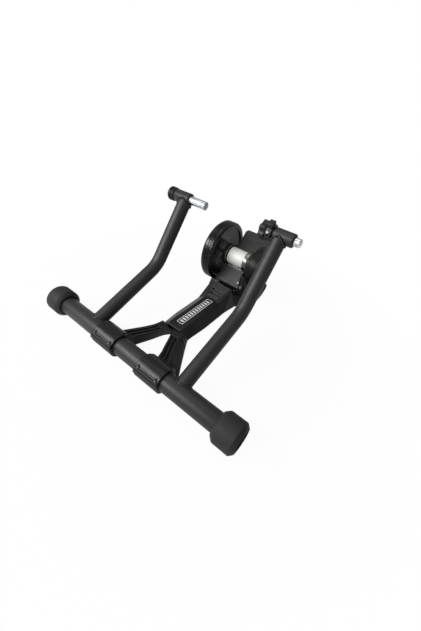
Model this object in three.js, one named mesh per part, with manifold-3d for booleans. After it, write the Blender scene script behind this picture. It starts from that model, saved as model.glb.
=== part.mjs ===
// Wheel-on bike trainer: a wide base tube with two bent arms that clamp the rear axle, a cast
// Y-shaped stand behind it, and a swinging resistance unit with a roller, a flywheel and a brake.
// Millimetres. X runs along the base tube, Y from the base tube to the resistance unit, Z up.
// The origin is on the floor under the middle of the trainer's width and depth, and the places
// below are measured from the base tube until the whole trainer is moved there.

import * as THREE from 'three';
import { mergeVertices } from 'three/addons/utils/BufferGeometryUtils.js';
import { ConvexGeometry } from 'three/addons/geometries/ConvexGeometry.js';
import Module from 'manifold-3d';

const wasm = await Module();
wasm.setup();

// Clearances and overruns
const seat_gap = 0.3;
const cut_overrun = 2;
const weld_distance = 0.0005;

// Counts of flats round the turned pieces
const fine_sides = 32;
const wheel_sides = 40;
const mid_sides = 20;
const small_sides = 12;
const arc_steps = 8;

// Base tube
const tube_radius = 25;
const tube_wall = 2.5;

// Rubber end caps, which the front of the trainer stands on
const cap_radius = 38.75;
const cap_inner_x = 274;
const cap_length = 59;
const cap_mouth_radius = 31;
const cap_mouth_bevel = 9;
const cap_end_radius = 30.5;
const cap_end_bevel = 8;
const cap_rim = 4.5;
const cap_dish = 5;
const cap_end_wall = 6;

// Bent arms
const arm_radius = 20;
const arm_wall = 2;
const arm_x = 157;
const arm_lower_length = 253;
const arm_upper_length = 214;
const arm_bend_radius = 90;
const arm_rise_deg = 20;
const arm_bend_deg = 34.1;
const arm_bend_steps = 8;
const arm_sides = 20;

// Axle barrels at the tops of the arms
const barrel_radius = 17.5;
const barrel_bore = 12.3;
const barrel_inward = 19;
const barrel_outward = 37;
const barrel_lip = 2;

// Left axle clamp: turning knob, screw and sliding cup
const cup_radius = 12;
const cup_tip_x = 82;
const cup_length = 94;
const cup_mouth_radius = 9;
const cup_mouth_depth = 18;
const screw_radius = 6;
const screw_tip_x = 110;
const thrust_length = 5;
const knob_radius = 19.5;
const knob_length = 22;
const knob_skirt = 15.5;
const knob_skirt_length = 3;
const knob_groove = 3;
const knob_groove_length = 4;
const knob_front_length = 5;
const knob_round = 2.5;

// Right axle clamp: lobed wheel, locking collar and threaded spindle with a bright end
const wheel_radius = 25;
const wheel_lobe_depth = 5;
const wheel_lobes = 6;
const wheel_length = 17;
const wheel_gap = 2;
const wheel_pocket_radius = 13;
const wheel_pocket_depth = 9;
const collar_radius = 22;
const collar_length = 15;
const collar_gap = 2;
const collar_tab_height = 9;
const collar_tab_width = 20;
const collar_slot_width = 3;
const insert_wall = 4;
const spindle_radius = 11;
const spindle_end_length = 18;
const spindle_end_bevel = 4;
const journal_inset = 14;
const journal_length = 38;
const collar_screw_radius = 2.2;
const collar_screw_head = 3.6;
const collar_screw_head_length = 3;
const collar_screw_length = 10;
const collar_screw_turn_deg = 72;

// Tube clamps: an upper half cast with the stand, a lower shell with a tongue in a slot of the
// leg behind and two bolts in front, and a plastic bush
const clamp_centre_x = 82;
const clamp_length = 76;
const clamp_wall = 4.5;
const bush_wall = 2.2;
const clamp_split_deg = -25;
const ear_reach = 7.6;
const ear_thickness = 8;
const ear_bolt_inset = 3.8;
const rib_start = 50;
const rib_radius = 35.5;
const rib_near = 2;
const rib_far = 26;
const rib_floor = 24;
const bolt_spacing = 58;
const bolt_radius = 2;
const bolt_head_radius = 3.2;
const bolt_head_length = 3;
const bolt_length = 15;

// Legs of the stand, as [x, y] corners from the crotch to the clamp, and the height of their tops
const leg_base_inner = [[0, 143], [15, 122], [27, 87], [44, 44], [44, 26]];
const leg_base_outer = [[51, 153], [71, 119], [100, 73], [117, 46], [120, 26]];
const leg_top_inner = [[0, 137], [14, 120], [30, 86], [46, 50], [46, 26]];
const leg_top_outer = [[43, 150], [46, 123], [62, 87], [84, 48], [88, 26]];
const leg_top_heights = [30, 31, 33, 35, 35];
const leg_steps = 9;
const leg_rim = 8;
const leg_rib = 6;
const leg_groove = 6;
const leg_groove_row = 2;
const leg_groove_rows = 5;

// Rows of the stand behind its legs: distance back, half width at the base and top, and height
const stand_floor = 5;
const stand_lip = 5;
const bar_top = 32;
const bar_top_half = 25;
const bar_rows = [[150, 50, 20, 31], [168, 50, 25, 32], [222, 54, 25, 32], [324, 54, 25, 32]];
const ramp_start_y = 324;
const ramp_end_y = 374;
const ramp_top = 67;
const ramp_top_half = 40;
const ramp_base_half = 60;
const shelf_rows = [[374, 60, 41, 40], [388, 68, 41, 40], [432, 88, 41, 40]];
const foot_rows = [[388, 68, 50, 24], [417, 82, 60, 22], [445, 95, 78, 20], [462, 98, 95, 20],
  [490, 95, 95, 21], [512, 91, 92, 22], [540, 85, 87, 23], [546, 80, 80, 23]];
const pocket_start_y = 178;
const pocket_length = 138;
const pocket_half = 30;
const pocket_depth = 12;

// Badge place and the sloping plate with its two slots
const badge_start_y = 170;
const badge_length = 150;
const badge_width = 26;
const badge_thickness = 1.2;
const badge_sink = 1.6;
const plate_thickness = 3;
const plate_sink = 2;
const plate_near_half = 19;
const plate_far_half = 37;
const plate_start = 3;
const plate_length = 55;
const slot_length = 42;
const slot_width = 5;
const slot_spacing = 14;
const slot_inset = 20;
const slot_pocket_border = 4;
const slot_pocket_depth = 10;

// Rubber pads under the foot
const pad_centre_x = 66;
const pad_centre_y = 512;
const pad_length = 32;
const pad_width = 32;
const pad_screw_radius = 3;
const pad_screw_length = 8;
const pad_screw_head = 5.5;
const pad_screw_head_length = 2.5;
const pad_screw_recess = 3;

// Resistance unit: the roller axis, and the bracket's lean from the horizontal
const roller_y = 455;
const roller_z = 132.1;
const unit_lean_deg = 47.7;
const roller_radius = 27.5;
const roller_half = 30;
const roller_edge = 2;
const shaft_radius = 6;
const shaft_left = 94;
const shaft_right = 93;

// Bracket of pressed steel: plate, window, bearing collars and hinge cheeks
const bracket_set_back = 5.4;
const bracket_thickness = 4;
const bracket_top_u = 97;
const bracket_outline = [[-27, 90], [-27, 40], [-36, 33], [-36, -33], [-27, -40], [-46, -84],
  [-46, -91], [46, -91], [46, -84], [36, -60], [36, -40], [40, -33], [40, 33], [44, 52], [60, 66],
  [72, 66], [72, 88], [64, 97], [-20, 97]];
const lip_left = 20;
const lip_right = 33;
const lip_depth = 14;
const window_half = 33;
const window_reach = 29.5;
const cheek_outer = 46;
const cheek_wall = 4;
const cheek_top_x = 32;
const cheek_top_u = 42;
const cheek_top_depth = 20;
const cheek_foot_u = 88;
const cheek_radius = 12;
const boss_radius = 34;
const boss_mouth_radius = 30;
const boss_start = 31.5;
const boss_web = 10;
const boss_lip = 1.4;
const bearing_radius = 16;
const bearing_width = 8;
const bracket_hole_radius = 2.5;
const bracket_hole_depth = 2.5;
const bracket_hole_x = 13;
const bracket_hole_u = 61;
const bracket_hole_step = 21;
const bracket_bolt_x = 38;
const bracket_bolt_u = 74;
const bracket_bolt_radius = 2.5;
const bracket_bolt_head = 4;
const bracket_bolt_head_length = 2.5;
const bracket_bolt_length = 5;

// Hinge between the stand and the resistance unit
const hinge_u = 82.9;
const hinge_w = 22;
const hinge_radius = 5;
const hinge_half = 48.4;
const hinge_clip_radius = 8;
const hinge_clip_width = 1.8;
const lug_inner = 26;
const lug_width = 10;
const lug_radius = 10;
const lug_room = 12.5;
const lug_front_y = 405;
const lug_back_y = 430;
const lug_foot_z = 36;
const hinge_bush_wall = 1.5;
const hinge_flange_radius = 9;
const hinge_flange_length = 5.4;

// Flywheel
const flywheel_radius = 98;
const flywheel_right = 50;
const flywheel_width = 41;
const flywheel_chamfer = 4;
const flywheel_shoulder = 20;
const flywheel_shoulder_width = 12;
const flywheel_lip = 15;
const flywheel_dish = 6;
const flywheel_web = 8;
const flywheel_wall = 8;
const flywheel_hub_set_in = 7;
const flywheel_hub_radius = 26;
const flywheel_groove_depth = 2.5;
const flywheel_groove_width = 3;
const flywheel_groove_inset = 9;
const flywheel_groove_pitch = 8;
const nut_radius = 10;
const nut_length = 7;
const nut_sides = 6;

// Brake housing, cover and what they hold
const housing_left = 63.5;
const housing_length = 27;
const housing_radius = 64;
const housing_wall = 3.5;
const housing_round = 5;
const housing_bore = 9;
const cover_length = 11;
const cover_step = 3;
const cover_step_inset = 16;
const cover_hub_radius = 20;
const cover_hub_depth = 4;
const cover_screws = 3;
const cover_screw_radius = 2.2;
const cover_screw_head = 3.6;
const cover_screw_head_length = 2;
const cover_screw_length = 14;
const cover_screw_inset = 7;
const cover_flange = 12;
const cover_wall = 3.5;
const post_radius = 4.2;
const rotor_clearance = 2.8;
const rotor_width = 4;
const rotor_x = 81;
const rotor_hub_radius = 14;
const rotor_hub_length = 8;
const coil_band = 22;
const coil_inset = 4;
const coil_length = 6;
const coil_count = 6;
const coil_radius = 9;
const coil_height = 2.5;
const coil_link = 2;
const coil_link_width = 1;
const board_width = 44;
const board_thickness = 2;
const board_gap = 1.9;
const board_hub_gap = 2;
const board_x = 93;
const board_post = 3;
const board_post_w = 16;
const inlet_radius = 6;
const inlet_flange = 8;
const inlet_flange_length = 2;
const inlet_length = 9;
const inlet_tail = 5;
const inlet_bore = 3;
const inlet_bore_depth = 7;
const inlet_edge = 11;
const inlet_angle_deg = 29.5;

// Pressure adjuster at the back: a screw through a tower, pushed and pulled by a knob
const shoe_u = 50;
const shoe_radius = 9;
const shoe_half = 12;
const shoe_neck = 15;
const shoe_neck_radius = 8;
const shoe_bore = 10;
const adjuster_dip_deg = 20;
const adjuster_radius = 5;
const adjuster_length = 98;
const tower_start = 38;
const tower_length = 24;
const tower_radius = 13;
const tower_front_y = 456;
const tower_back_y = 482;
const tower_half = 18;
const tower_foot_z = 14;
const washer_radius = 16;
const washer_length = 2;
const adjuster_knob_radius = 24;
const adjuster_knob_length = 20;
const adjuster_knob_lobes = 5;
const adjuster_knob_depth = 6;
const adjuster_knob_clearance = 2;

// Values that follow from the sizes above
const tube_z = cap_radius;
const arm_rise = THREE.MathUtils.degToRad(arm_rise_deg);
const arm_bend = THREE.MathUtils.degToRad(arm_bend_deg);
const clamp_split = THREE.MathUtils.degToRad(clamp_split_deg);
const unit_lean = THREE.MathUtils.degToRad(unit_lean_deg);
const collar_screw_turn = THREE.MathUtils.degToRad(collar_screw_turn_deg);
const adjuster_dip = THREE.MathUtils.degToRad(adjuster_dip_deg);
const inlet_angle = THREE.MathUtils.degToRad(inlet_angle_deg);
const ramp_slope = Math.atan2(ramp_top - bar_top, ramp_end_y - ramp_start_y);
const cap_outer_x = cap_inner_x + cap_length;
const tube_half_length = cap_outer_x - cap_dish - cap_end_wall;
const head_y = arm_lower_length + arm_upper_length * Math.cos(arm_bend);
const head_z = arm_upper_length * Math.sin(arm_bend);
const barrel_inner_x = arm_x - barrel_inward;
const barrel_outer_x = arm_x + barrel_outward;
const bush_inner = tube_radius + seat_gap;
const shell_inner = bush_inner + bush_wall + seat_gap;
const shell_outer = shell_inner + clamp_wall;
const unit_place = new THREE.Matrix4()
  .makeRotationX(unit_lean)
  .setPosition(0, roller_y, roller_z);
const clamp_place = new THREE.Matrix4()
  .makeRotationX(clamp_split)
  .setPosition(0, 0, tube_z);
const ramp_place = new THREE.Matrix4()
  .makeRotationX(ramp_slope)
  .setPosition(0, ramp_start_y, bar_top);
const clamp_start = clamp_centre_x - clamp_length / 2;
const clamp_end = clamp_centre_x + clamp_length / 2;
const depth_centre = (roller_y + flywheel_radius - cap_radius) / 2;
const bracket_back = bracket_set_back + bracket_thickness;
const hinge_place = new THREE.Vector3(0, -hinge_u, -hinge_w).applyMatrix4(unit_place);
const shoe_place = new THREE.Vector3(0, -shoe_u, -bracket_back).applyMatrix4(unit_place);
const shoe_turn = Math.PI / 2 - unit_lean - adjuster_dip;
const rotor_radius = housing_radius - cover_screw_inset - post_radius - rotor_clearance;
const coil_outer = rotor_radius - coil_inset;
const coil_inner = coil_outer - coil_band;
const board_reach = housing_radius - cover_flange - board_gap;
const board_edge_u = Math.sqrt(board_reach ** 2 - (board_width / 2) ** 2);
const board_height = board_edge_u - cover_hub_radius - cover_step - board_hub_gap;
const board_u = board_edge_u - board_height / 2;
const inlet_reach = housing_radius - inlet_edge;
const nose_distance = (shoe_radius + seat_gap) / Math.cos(shoe_turn);

// Solids, joins and cuts

function signedVolume(position, index) {
  const a = new THREE.Vector3();
  const b = new THREE.Vector3();
  const c = new THREE.Vector3();
  let sum = 0;
  for (let i = 0; i < index.length; i += 3) {
    a.fromArray(position, 3 * index[i]);
    b.fromArray(position, 3 * index[i + 1]);
    c.fromArray(position, 3 * index[i + 2]);
    sum += a.dot(b.cross(c));
  }
  return sum;
}

function toSolid(geometry) {
  const bare = geometry.clone();
  bare.deleteAttribute('normal');
  bare.deleteAttribute('uv');
  const welded = mergeVertices(bare, weld_distance);
  const vertProperties = Float32Array.from(welded.attributes.position.array);
  const triVerts = Uint32Array.from(welded.index.array);
  if (signedVolume(vertProperties, triVerts) < 0) {
    triVerts.reverse();
  }
  return new wasm.Manifold(new wasm.Mesh({ numProp: 3, vertProperties, triVerts }));
}

function toGeometry(solid) {
  const mesh = solid.getMesh();
  const geometry = new THREE.BufferGeometry();
  geometry.setAttribute('position', new THREE.BufferAttribute(mesh.vertProperties, 3));
  geometry.setIndex(new THREE.BufferAttribute(mesh.triVerts, 1));
  return geometry;
}

function join(...geometries) {
  const [first, ...others] = geometries.map(toSolid);
  return toGeometry(others.reduce((sum, other) => sum.add(other), first));
}

function cut(geometry, ...tools) {
  return toGeometry(tools.map(toSolid).reduce((left, tool) => left.subtract(tool), toSolid(geometry)));
}

function common(first, second) {
  return toGeometry(toSolid(first).intersect(toSolid(second)));
}

// Shapes. A turned piece takes [x, radius] pairs; a prism takes an outline and its two ends.

function turned(profile, sides) {
  const points = profile.map(([x, radius]) => new THREE.Vector2(radius, x));
  return new THREE.LatheGeometry(points, sides).rotateZ(-Math.PI / 2);
}

function ring(x0, x1, inner, outer, sides) {
  return turned([[x0, inner], [x0, outer], [x1, outer], [x1, inner], [x0, inner]], sides);
}

function rod(x0, x1, radius, sides) {
  return turned([[x0, 0], [x0, radius], [x1, radius], [x1, 0]], sides);
}

function shapeOf(outline) {
  return new THREE.Shape(outline.map(([a, b]) => new THREE.Vector2(a, b)));
}

function prismZ(shape, z0, z1) {
  const settings = { depth: z1 - z0, bevelEnabled: false, curveSegments: arc_steps };
  return new THREE.ExtrudeGeometry(shape, settings).translate(0, 0, z0);
}

function prismX(shape, x0, x1) {
  const basis = new THREE.Matrix4().makeBasis(
    new THREE.Vector3(0, 1, 0),
    new THREE.Vector3(0, 0, 1),
    new THREE.Vector3(1, 0, 0),
  );
  return prismZ(shape, x0, x1).applyMatrix4(basis);
}

function block(x0, x1, y0, y1, z0, z1) {
  const box = new THREE.BoxGeometry(x1 - x0, y1 - y0, z1 - z0);
  return box.translate((x0 + x1) / 2, (y0 + y1) / 2, (z0 + z1) / 2);
}

function hull(points) {
  return new ConvexGeometry(points.map(([x, y, z]) => new THREE.Vector3(x, y, z)));
}

function upright(x, y, z0, z1, radius, sides) {
  const post = new THREE.CylinderGeometry(radius, radius, z1 - z0, sides);
  return post.rotateX(Math.PI / 2).translate(x, y, (z0 + z1) / 2);
}

function inUnit(geometry) {
  return geometry.applyMatrix4(unit_place);
}

function inClamp(geometry) {
  return geometry.applyMatrix4(clamp_place);
}

function inRamp(geometry) {
  return geometry.applyMatrix4(ramp_place);
}

function alongScrew(geometry) {
  return geometry.rotateZ(Math.PI / 2).rotateX(-adjuster_dip).translate(0, shoe_place.y, shoe_place.z);
}

function mirrored(geometry) {
  return geometry.clone().scale(-1, 1, 1);
}

function lobedShape(radius, depth, lobes) {
  const steps = lobes * arc_steps;
  const points = [];
  for (let i = 0; i < steps; i += 1) {
    const angle = (2 * Math.PI * i) / steps;
    const reach = radius - (depth / 2) * (1 - Math.cos(lobes * angle));
    points.push([reach * Math.cos(angle), reach * Math.sin(angle)]);
  }
  return shapeOf(points);
}

function bolt(radius, length, head_radius, head_length, sides) {
  return turned([
    [-length, 0],
    [-length, radius],
    [0, radius],
    [0, head_radius],
    [head_length, head_radius],
    [head_length, 0],
  ], sides);
}

// Finishes

function finish(color, roughness, metalness) {
  return new THREE.MeshStandardMaterial({ color, roughness, metalness });
}

const frame_paint = finish(0x2b2b2c, 0.55, 0.3);
const cast_paint = finish(0x1f1f20, 0.35, 0.3);
const shell_paint = finish(0x3a3735, 0.5, 0.3);
const bracket_paint = finish(0x4a4a4b, 0.5, 0.4);
const gloss_black = finish(0x101011, 0.2, 0.3);
const rubber = finish(0x262626, 0.9, 0);
const plastic = finish(0x1c1c1d, 0.6, 0);
const bright_steel = finish(0xe4e6e8, 0.2, 1);
const satin_alloy = finish(0xd2d3d0, 0.35, 1);
const plain_steel = finish(0x9a9c9e, 0.4, 1);
const copper = finish(0xa5603a, 0.4, 1);
const board_green = finish(0x1f5a34, 0.5, 0);

const trainer = new THREE.Group();
trainer.position.y = -depth_centre;
const frame = new THREE.Group();
trainer.add(frame);
frame.position.z = tube_z;
frame.rotation.x = arm_rise;

function add(group, name, geometry, material) {
  const mesh = new THREE.Mesh(toGeometry(toSolid(geometry)), material);
  mesh.name = name;
  group.add(mesh);
}

// Folding frame, in a group whose Y runs along the lower arms from the base tube

function baseTube() {
  return ring(-tube_half_length, tube_half_length, tube_radius - tube_wall, tube_radius, fine_sides);
}

function endCap() {
  const socket = tube_radius + seat_gap;
  const floor_x = tube_half_length + seat_gap;
  const dish_radius = cap_end_radius - cap_rim;
  return turned([
    [floor_x, 0],
    [floor_x, socket],
    [cap_inner_x, socket],
    [cap_inner_x, cap_mouth_radius],
    [cap_inner_x + cap_mouth_bevel, cap_radius],
    [cap_outer_x - cap_end_bevel, cap_radius],
    [cap_outer_x, cap_end_radius],
    [cap_outer_x, dish_radius],
    [cap_outer_x - cap_dish, dish_radius - cap_dish],
    [cap_outer_x - cap_dish, 0],
  ], fine_sides);
}

// One step along each straight and the rest round the bend
class ArmCurve extends THREE.Curve {
  getPoint(t, target = new THREE.Vector3()) {
    const tangent = arm_bend_radius * Math.tan(arm_bend / 2);
    const corner = new THREE.Vector3(0, arm_lower_length, 0);
    const up = new THREE.Vector3(0, Math.cos(arm_bend), Math.sin(arm_bend));
    const before = new THREE.Vector3(0, arm_lower_length - tangent, 0);
    const after = corner.clone().addScaledVector(up, tangent);
    const step = t * (arm_bend_steps + 2) - 1;
    if (step <= 0) {
      return target.copy(before).multiplyScalar(step + 1);
    }
    if (step >= arm_bend_steps) {
      const end = corner.clone().addScaledVector(up, arm_upper_length);
      return target.lerpVectors(after, end, step - arm_bend_steps);
    }
    return new THREE.QuadraticBezierCurve3(before, corner, after).getPoint(step / arm_bend_steps, target);
  }

  getPointAt(u, target) {
    return this.getPoint(u, target);
  }

  getTangentAt(u, target) {
    return this.getTangent(u, target);
  }
}

function arm(side) {
  const section = new THREE.Shape();
  section.absarc(0, 0, arm_radius, 0, 2 * Math.PI, false);
  const bore = new THREE.Path();
  bore.absarc(0, 0, arm_radius - arm_wall, 0, 2 * Math.PI, true);
  section.holes.push(bore);
  const settings = {
    extrudePath: new ArmCurve(),
    steps: arm_bend_steps + 2,
    curveSegments: arm_sides / 2,
  };
  const tube = new THREE.ExtrudeGeometry(section, settings).translate(side * arm_x, 0, 0);
  const base_cope = rod(-tube_half_length, tube_half_length, tube_radius + seat_gap, fine_sides);
  const reach = barrel_outer_x + cut_overrun;
  const head_cope = rod(-reach, reach, barrel_radius + seat_gap, fine_sides).translate(0, head_y, head_z);
  return cut(tube, base_cope, head_cope);
}

function barrel() {
  return turned([
    [barrel_inner_x, barrel_bore],
    [barrel_inner_x, barrel_radius - barrel_lip],
    [barrel_inner_x + barrel_lip, barrel_radius],
    [barrel_outer_x - barrel_lip, barrel_radius],
    [barrel_outer_x, barrel_radius - barrel_lip],
    [barrel_outer_x, barrel_bore],
    [barrel_inner_x, barrel_bore],
  ], mid_sides).translate(0, head_y, head_z);
}

function atHead(geometry) {
  return geometry.translate(0, head_y, head_z);
}

// Left axle clamp

function axleCupLeft() {
  const bore = screw_radius + seat_gap;
  const mouth_end = cup_tip_x + cup_mouth_depth;
  return atHead(turned([
    [-cup_tip_x - cup_length, bore],
    [-cup_tip_x - cup_length, cup_radius],
    [-cup_tip_x, cup_radius],
    [-cup_tip_x, cup_mouth_radius],
    [-mouth_end, cup_mouth_radius],
    [-mouth_end, bore],
    [-cup_tip_x - cup_length, bore],
  ], mid_sides));
}

function thrustBush() {
  const outer = barrel_bore - seat_gap;
  return atHead(ring(-barrel_outer_x, -barrel_outer_x + thrust_length, screw_radius + seat_gap, outer, mid_sides));
}

function clampKnob() {
  const start = barrel_outer_x + seat_gap;
  const groove_start = start + knob_skirt_length + knob_front_length;
  const groove_end = groove_start + knob_groove_length;
  const end = start + knob_length;
  return atHead(turned([
    [-start, 0],
    [-start, knob_skirt],
    [-start - knob_skirt_length, knob_radius],
    [-groove_start, knob_radius],
    [-groove_start, knob_radius - knob_groove],
    [-groove_end, knob_radius - knob_groove],
    [-groove_end, knob_radius],
    [-end + knob_round, knob_radius],
    [-end, knob_radius - knob_round],
    [-end, 0],
  ], mid_sides));
}

function clampScrew() {
  const start = barrel_outer_x + seat_gap;
  return atHead(rod(-start + seat_gap, -screw_tip_x, screw_radius, small_sides));
}

// Right axle clamp

const collar_outer_x = barrel_inner_x - collar_gap;
const collar_inner_x = collar_outer_x - collar_length;
const wheel_outer_x = collar_inner_x - wheel_gap;
const wheel_inner_x = wheel_outer_x - wheel_length;

function adjusterWheel() {
  const disc = prismX(lobedShape(wheel_radius, wheel_lobe_depth, wheel_lobes), wheel_inner_x, wheel_outer_x);
  const pocket_end = wheel_inner_x + wheel_pocket_depth;
  const pocket = rod(wheel_inner_x - cut_overrun, pocket_end, wheel_pocket_radius, mid_sides);
  return atHead(cut(disc, pocket));
}

function axleInsert() {
  const outer = wheel_pocket_radius - seat_gap;
  const end = wheel_inner_x + wheel_pocket_depth - seat_gap;
  return atHead(turned([
    [end, 0],
    [end, outer],
    [wheel_inner_x, outer],
    [wheel_inner_x, cup_mouth_radius],
    [end - insert_wall, cup_mouth_radius],
    [end - insert_wall, 0],
  ], mid_sides));
}

function rightSpindle() {
  const start = wheel_outer_x + seat_gap;
  const end = barrel_outer_x + spindle_end_length;
  const journal_radius = barrel_bore - seat_gap;
  const journal_start = barrel_inner_x + journal_inset;
  const journal_end = journal_start + journal_length;
  return atHead(turned([
    [start, 0],
    [start, spindle_radius],
    [journal_start, spindle_radius],
    [journal_start, journal_radius],
    [journal_end, journal_radius],
    [journal_end, spindle_radius],
    [end - spindle_end_bevel, spindle_radius],
    [end, spindle_radius - spindle_end_bevel],
    [end, 0],
  ], mid_sides));
}

function lockCollar() {
  const body = ring(collar_inner_x, collar_outer_x, spindle_radius + seat_gap, collar_radius, mid_sides);
  const half = collar_tab_width / 2;
  const tab_top = collar_radius + collar_tab_height;
  const tab_start = spindle_radius + clamp_wall;
  const tab = block(collar_inner_x, collar_outer_x, -half, half, tab_start, tab_top);
  const slit = collar_slot_width / 2;
  const notch_floor = collar_radius - cut_overrun;
  const slot = block(
    collar_inner_x - cut_overrun, collar_outer_x + cut_overrun,
    -slit, slit, notch_floor, tab_top + cut_overrun,
  );
  return atHead(cut(join(body, tab), slot, collarHole()));
}

function towardFront(geometry) {
  const middle = (collar_inner_x + collar_outer_x) / 2;
  return geometry.rotateY(-Math.PI / 2).rotateX(collar_screw_turn).translate(middle, 0, 0);
}

function collarHole() {
  const radius = collar_screw_radius + seat_gap;
  return towardFront(rod(spindle_radius - cut_overrun, collar_radius + cut_overrun, radius, small_sides));
}

function collarScrew() {
  const pin = bolt(
    collar_screw_radius, collar_screw_length,
    collar_screw_head, collar_screw_head_length, small_sides,
  );
  return atHead(towardFront(pin.translate(collar_radius + seat_gap, 0, 0)));
}

add(frame, 'base_tube', baseTube(), frame_paint);
add(frame, 'end_cap_right', endCap(), rubber);
add(frame, 'end_cap_left', mirrored(endCap()), rubber);
add(frame, 'arm_right', arm(1), frame_paint);
add(frame, 'arm_left', arm(-1), frame_paint);
add(frame, 'barrel_right', barrel(), frame_paint);
add(frame, 'barrel_left', mirrored(barrel()), frame_paint);
add(frame, 'thrust_bush', thrustBush(), plastic);
add(frame, 'axle_cup_left', axleCupLeft(), bright_steel);
add(frame, 'clamp_knob', clampKnob(), plastic);
add(frame, 'clamp_screw', clampScrew(), plain_steel);
add(frame, 'adjuster_wheel', adjusterWheel(), plastic);
add(frame, 'axle_cup_right', axleInsert(), plain_steel);
add(frame, 'right_spindle', rightSpindle(), bright_steel);
add(frame, 'lock_collar', lockCollar(), frame_paint);
add(frame, 'collar_screw', collarScrew(), bright_steel);

// Stand

function smoothLine(corners) {
  const line = new THREE.SplineCurve(corners.map(([x, y]) => new THREE.Vector2(x, y)));
  return line.getPoints(leg_steps).map((spot) => spot.toArray());
}

const leg_heights = new THREE.SplineCurve(
  leg_top_heights.map((height, index) => new THREE.Vector2(index, height)),
).getPoints(leg_steps).map((spot) => spot.y);
const base_inner_line = smoothLine(leg_base_inner);
const base_outer_line = smoothLine(leg_base_outer);
const top_inner_line = smoothLine(leg_top_inner);
const top_outer_line = smoothLine(leg_top_outer);

function legSection(index) {
  const lip = stand_floor + stand_lip;
  return [
    [...base_inner_line[index], stand_floor],
    [...base_outer_line[index], stand_floor],
    [...base_inner_line[index], lip],
    [...base_outer_line[index], lip],
    [...top_inner_line[index], leg_heights[index]],
    [...top_outer_line[index], leg_heights[index]],
  ];
}

function grooveSection(index, half) {
  const inner = new THREE.Vector2(...top_inner_line[index]);
  const outer = new THREE.Vector2(...top_outer_line[index]);
  const width = inner.distanceTo(outer);
  const middle = width / 2;
  const start = half === 0 ? leg_rim : middle + leg_rib / 2;
  const end = half === 0 ? middle - leg_rib / 2 : width - leg_rim;
  return [start, end].flatMap((reach) => {
    const spot = inner.clone().lerp(outer, reach / width);
    const top = leg_heights[index];
    return [[spot.x, spot.y, top - leg_groove], [spot.x, spot.y, top + cut_overrun]];
  });
}

function leg() {
  const sections = base_inner_line.map((corner, index) => legSection(index));
  return join(...sections.slice(1).map((section, index) => hull([...sections[index], ...section])));
}

function legGrooves() {
  const rows = Array.from({ length: leg_groove_rows }, (unused, step) => leg_groove_row + step);
  return [0, 1].flatMap((half) => rows.map((index) => {
    return hull([...grooveSection(index, half), ...grooveSection(index + 1, half)]);
  }));
}

function cornersOf(geometry) {
  const position = geometry.attributes.position;
  return Array.from({ length: position.count }, (unused, index) => {
    return new THREE.Vector3().fromBufferAttribute(position, index).toArray();
  });
}

function rowSection([y, base_half, top_half, height]) {
  const lip = stand_floor + stand_lip;
  return [-1, 1].flatMap((side) => [
    [side * base_half, y, stand_floor],
    [side * base_half, y, lip],
    [side * top_half, y, height],
  ]);
}

function rowHulls(rows) {
  return rows.slice(1).map((row, index) => hull([...rowSection(rows[index]), ...rowSection(row)]));
}

const ear_end = shell_inner + ear_reach;
const clamp_bolt_y = ear_bolt_inset - ear_end;
const clamp_bolt_inner_x = clamp_centre_x - bolt_spacing / 2;
const clamp_bolt_outer_x = clamp_centre_x + bolt_spacing / 2;

function clampHalf(z0, z1) {
  const bottom = z0 < 0 ? -ear_end : z0;
  const top = z0 < 0 ? z1 : ear_end;
  const half_space = block(clamp_start, clamp_end, -ear_end, ear_end, bottom, top);
  const half_ring = common(ring(clamp_start, clamp_end, shell_inner, shell_outer, fine_sides), half_space);
  const ears = block(clamp_start, clamp_end, -ear_end, ear_end, z0, z1);
  const bore = rod(clamp_start - cut_overrun, clamp_end + cut_overrun, shell_inner, fine_sides);
  const bolt_bores = [clamp_bolt_inner_x, clamp_bolt_outer_x].map((x) => {
    return upright(x, clamp_bolt_y, -ear_end, ear_end, bolt_radius + seat_gap, small_sides);
  });
  return cut(join(half_ring, ears), bore, ...bolt_bores);
}

function saddle() {
  const rib_space = block(rib_start, clamp_end, rib_near, rib_far, rib_floor, rib_radius);
  const rib = common(ring(rib_start, clamp_end, shell_inner, rib_radius, fine_sides), rib_space);
  const head_rooms = [clamp_bolt_inner_x, clamp_bolt_outer_x].map((x) => {
    return upright(x, clamp_bolt_y, ear_thickness, ear_end, bolt_head_radius + seat_gap, small_sides);
  });
  return inClamp(cut(join(clampHalf(0, ear_thickness), rib), ...head_rooms));
}

function shellRoom() {
  const start = clamp_start - cut_overrun;
  const end = clamp_end + cut_overrun;
  const reach = ear_end + seat_gap;
  const lower = block(start, end, -reach, reach, -ear_end, 0);
  const round = common(rod(start, end, shell_outer + seat_gap, fine_sides), lower);
  return inClamp(join(round, block(start, end, -reach, reach, -ear_thickness - 2 * seat_gap, 0)));
}

function clampShell() {
  return inClamp(clampHalf(-ear_thickness - seat_gap, -seat_gap));
}

function clampBolt(x) {
  const pin = bolt(bolt_radius, bolt_length, bolt_head_radius, bolt_head_length, small_sides);
  return inClamp(pin.rotateY(-Math.PI / 2).translate(x, clamp_bolt_y, ear_thickness + seat_gap));
}

function clampBush() {
  return ring(clamp_start, clamp_end, bush_inner, bush_inner + bush_wall, fine_sides).translate(0, 0, tube_z);
}

function hingeLug() {
  const eye = rod(lug_inner, lug_inner + lug_width, lug_radius, mid_sides)
    .translate(0, hinge_place.y, hinge_place.z);
  const feet = [lug_inner, lug_inner + lug_width].flatMap((x) => {
    return [[x, lug_front_y, lug_foot_z], [x, lug_back_y, lug_foot_z]];
  });
  return hull([...cornersOf(eye), ...feet]);
}

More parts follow.
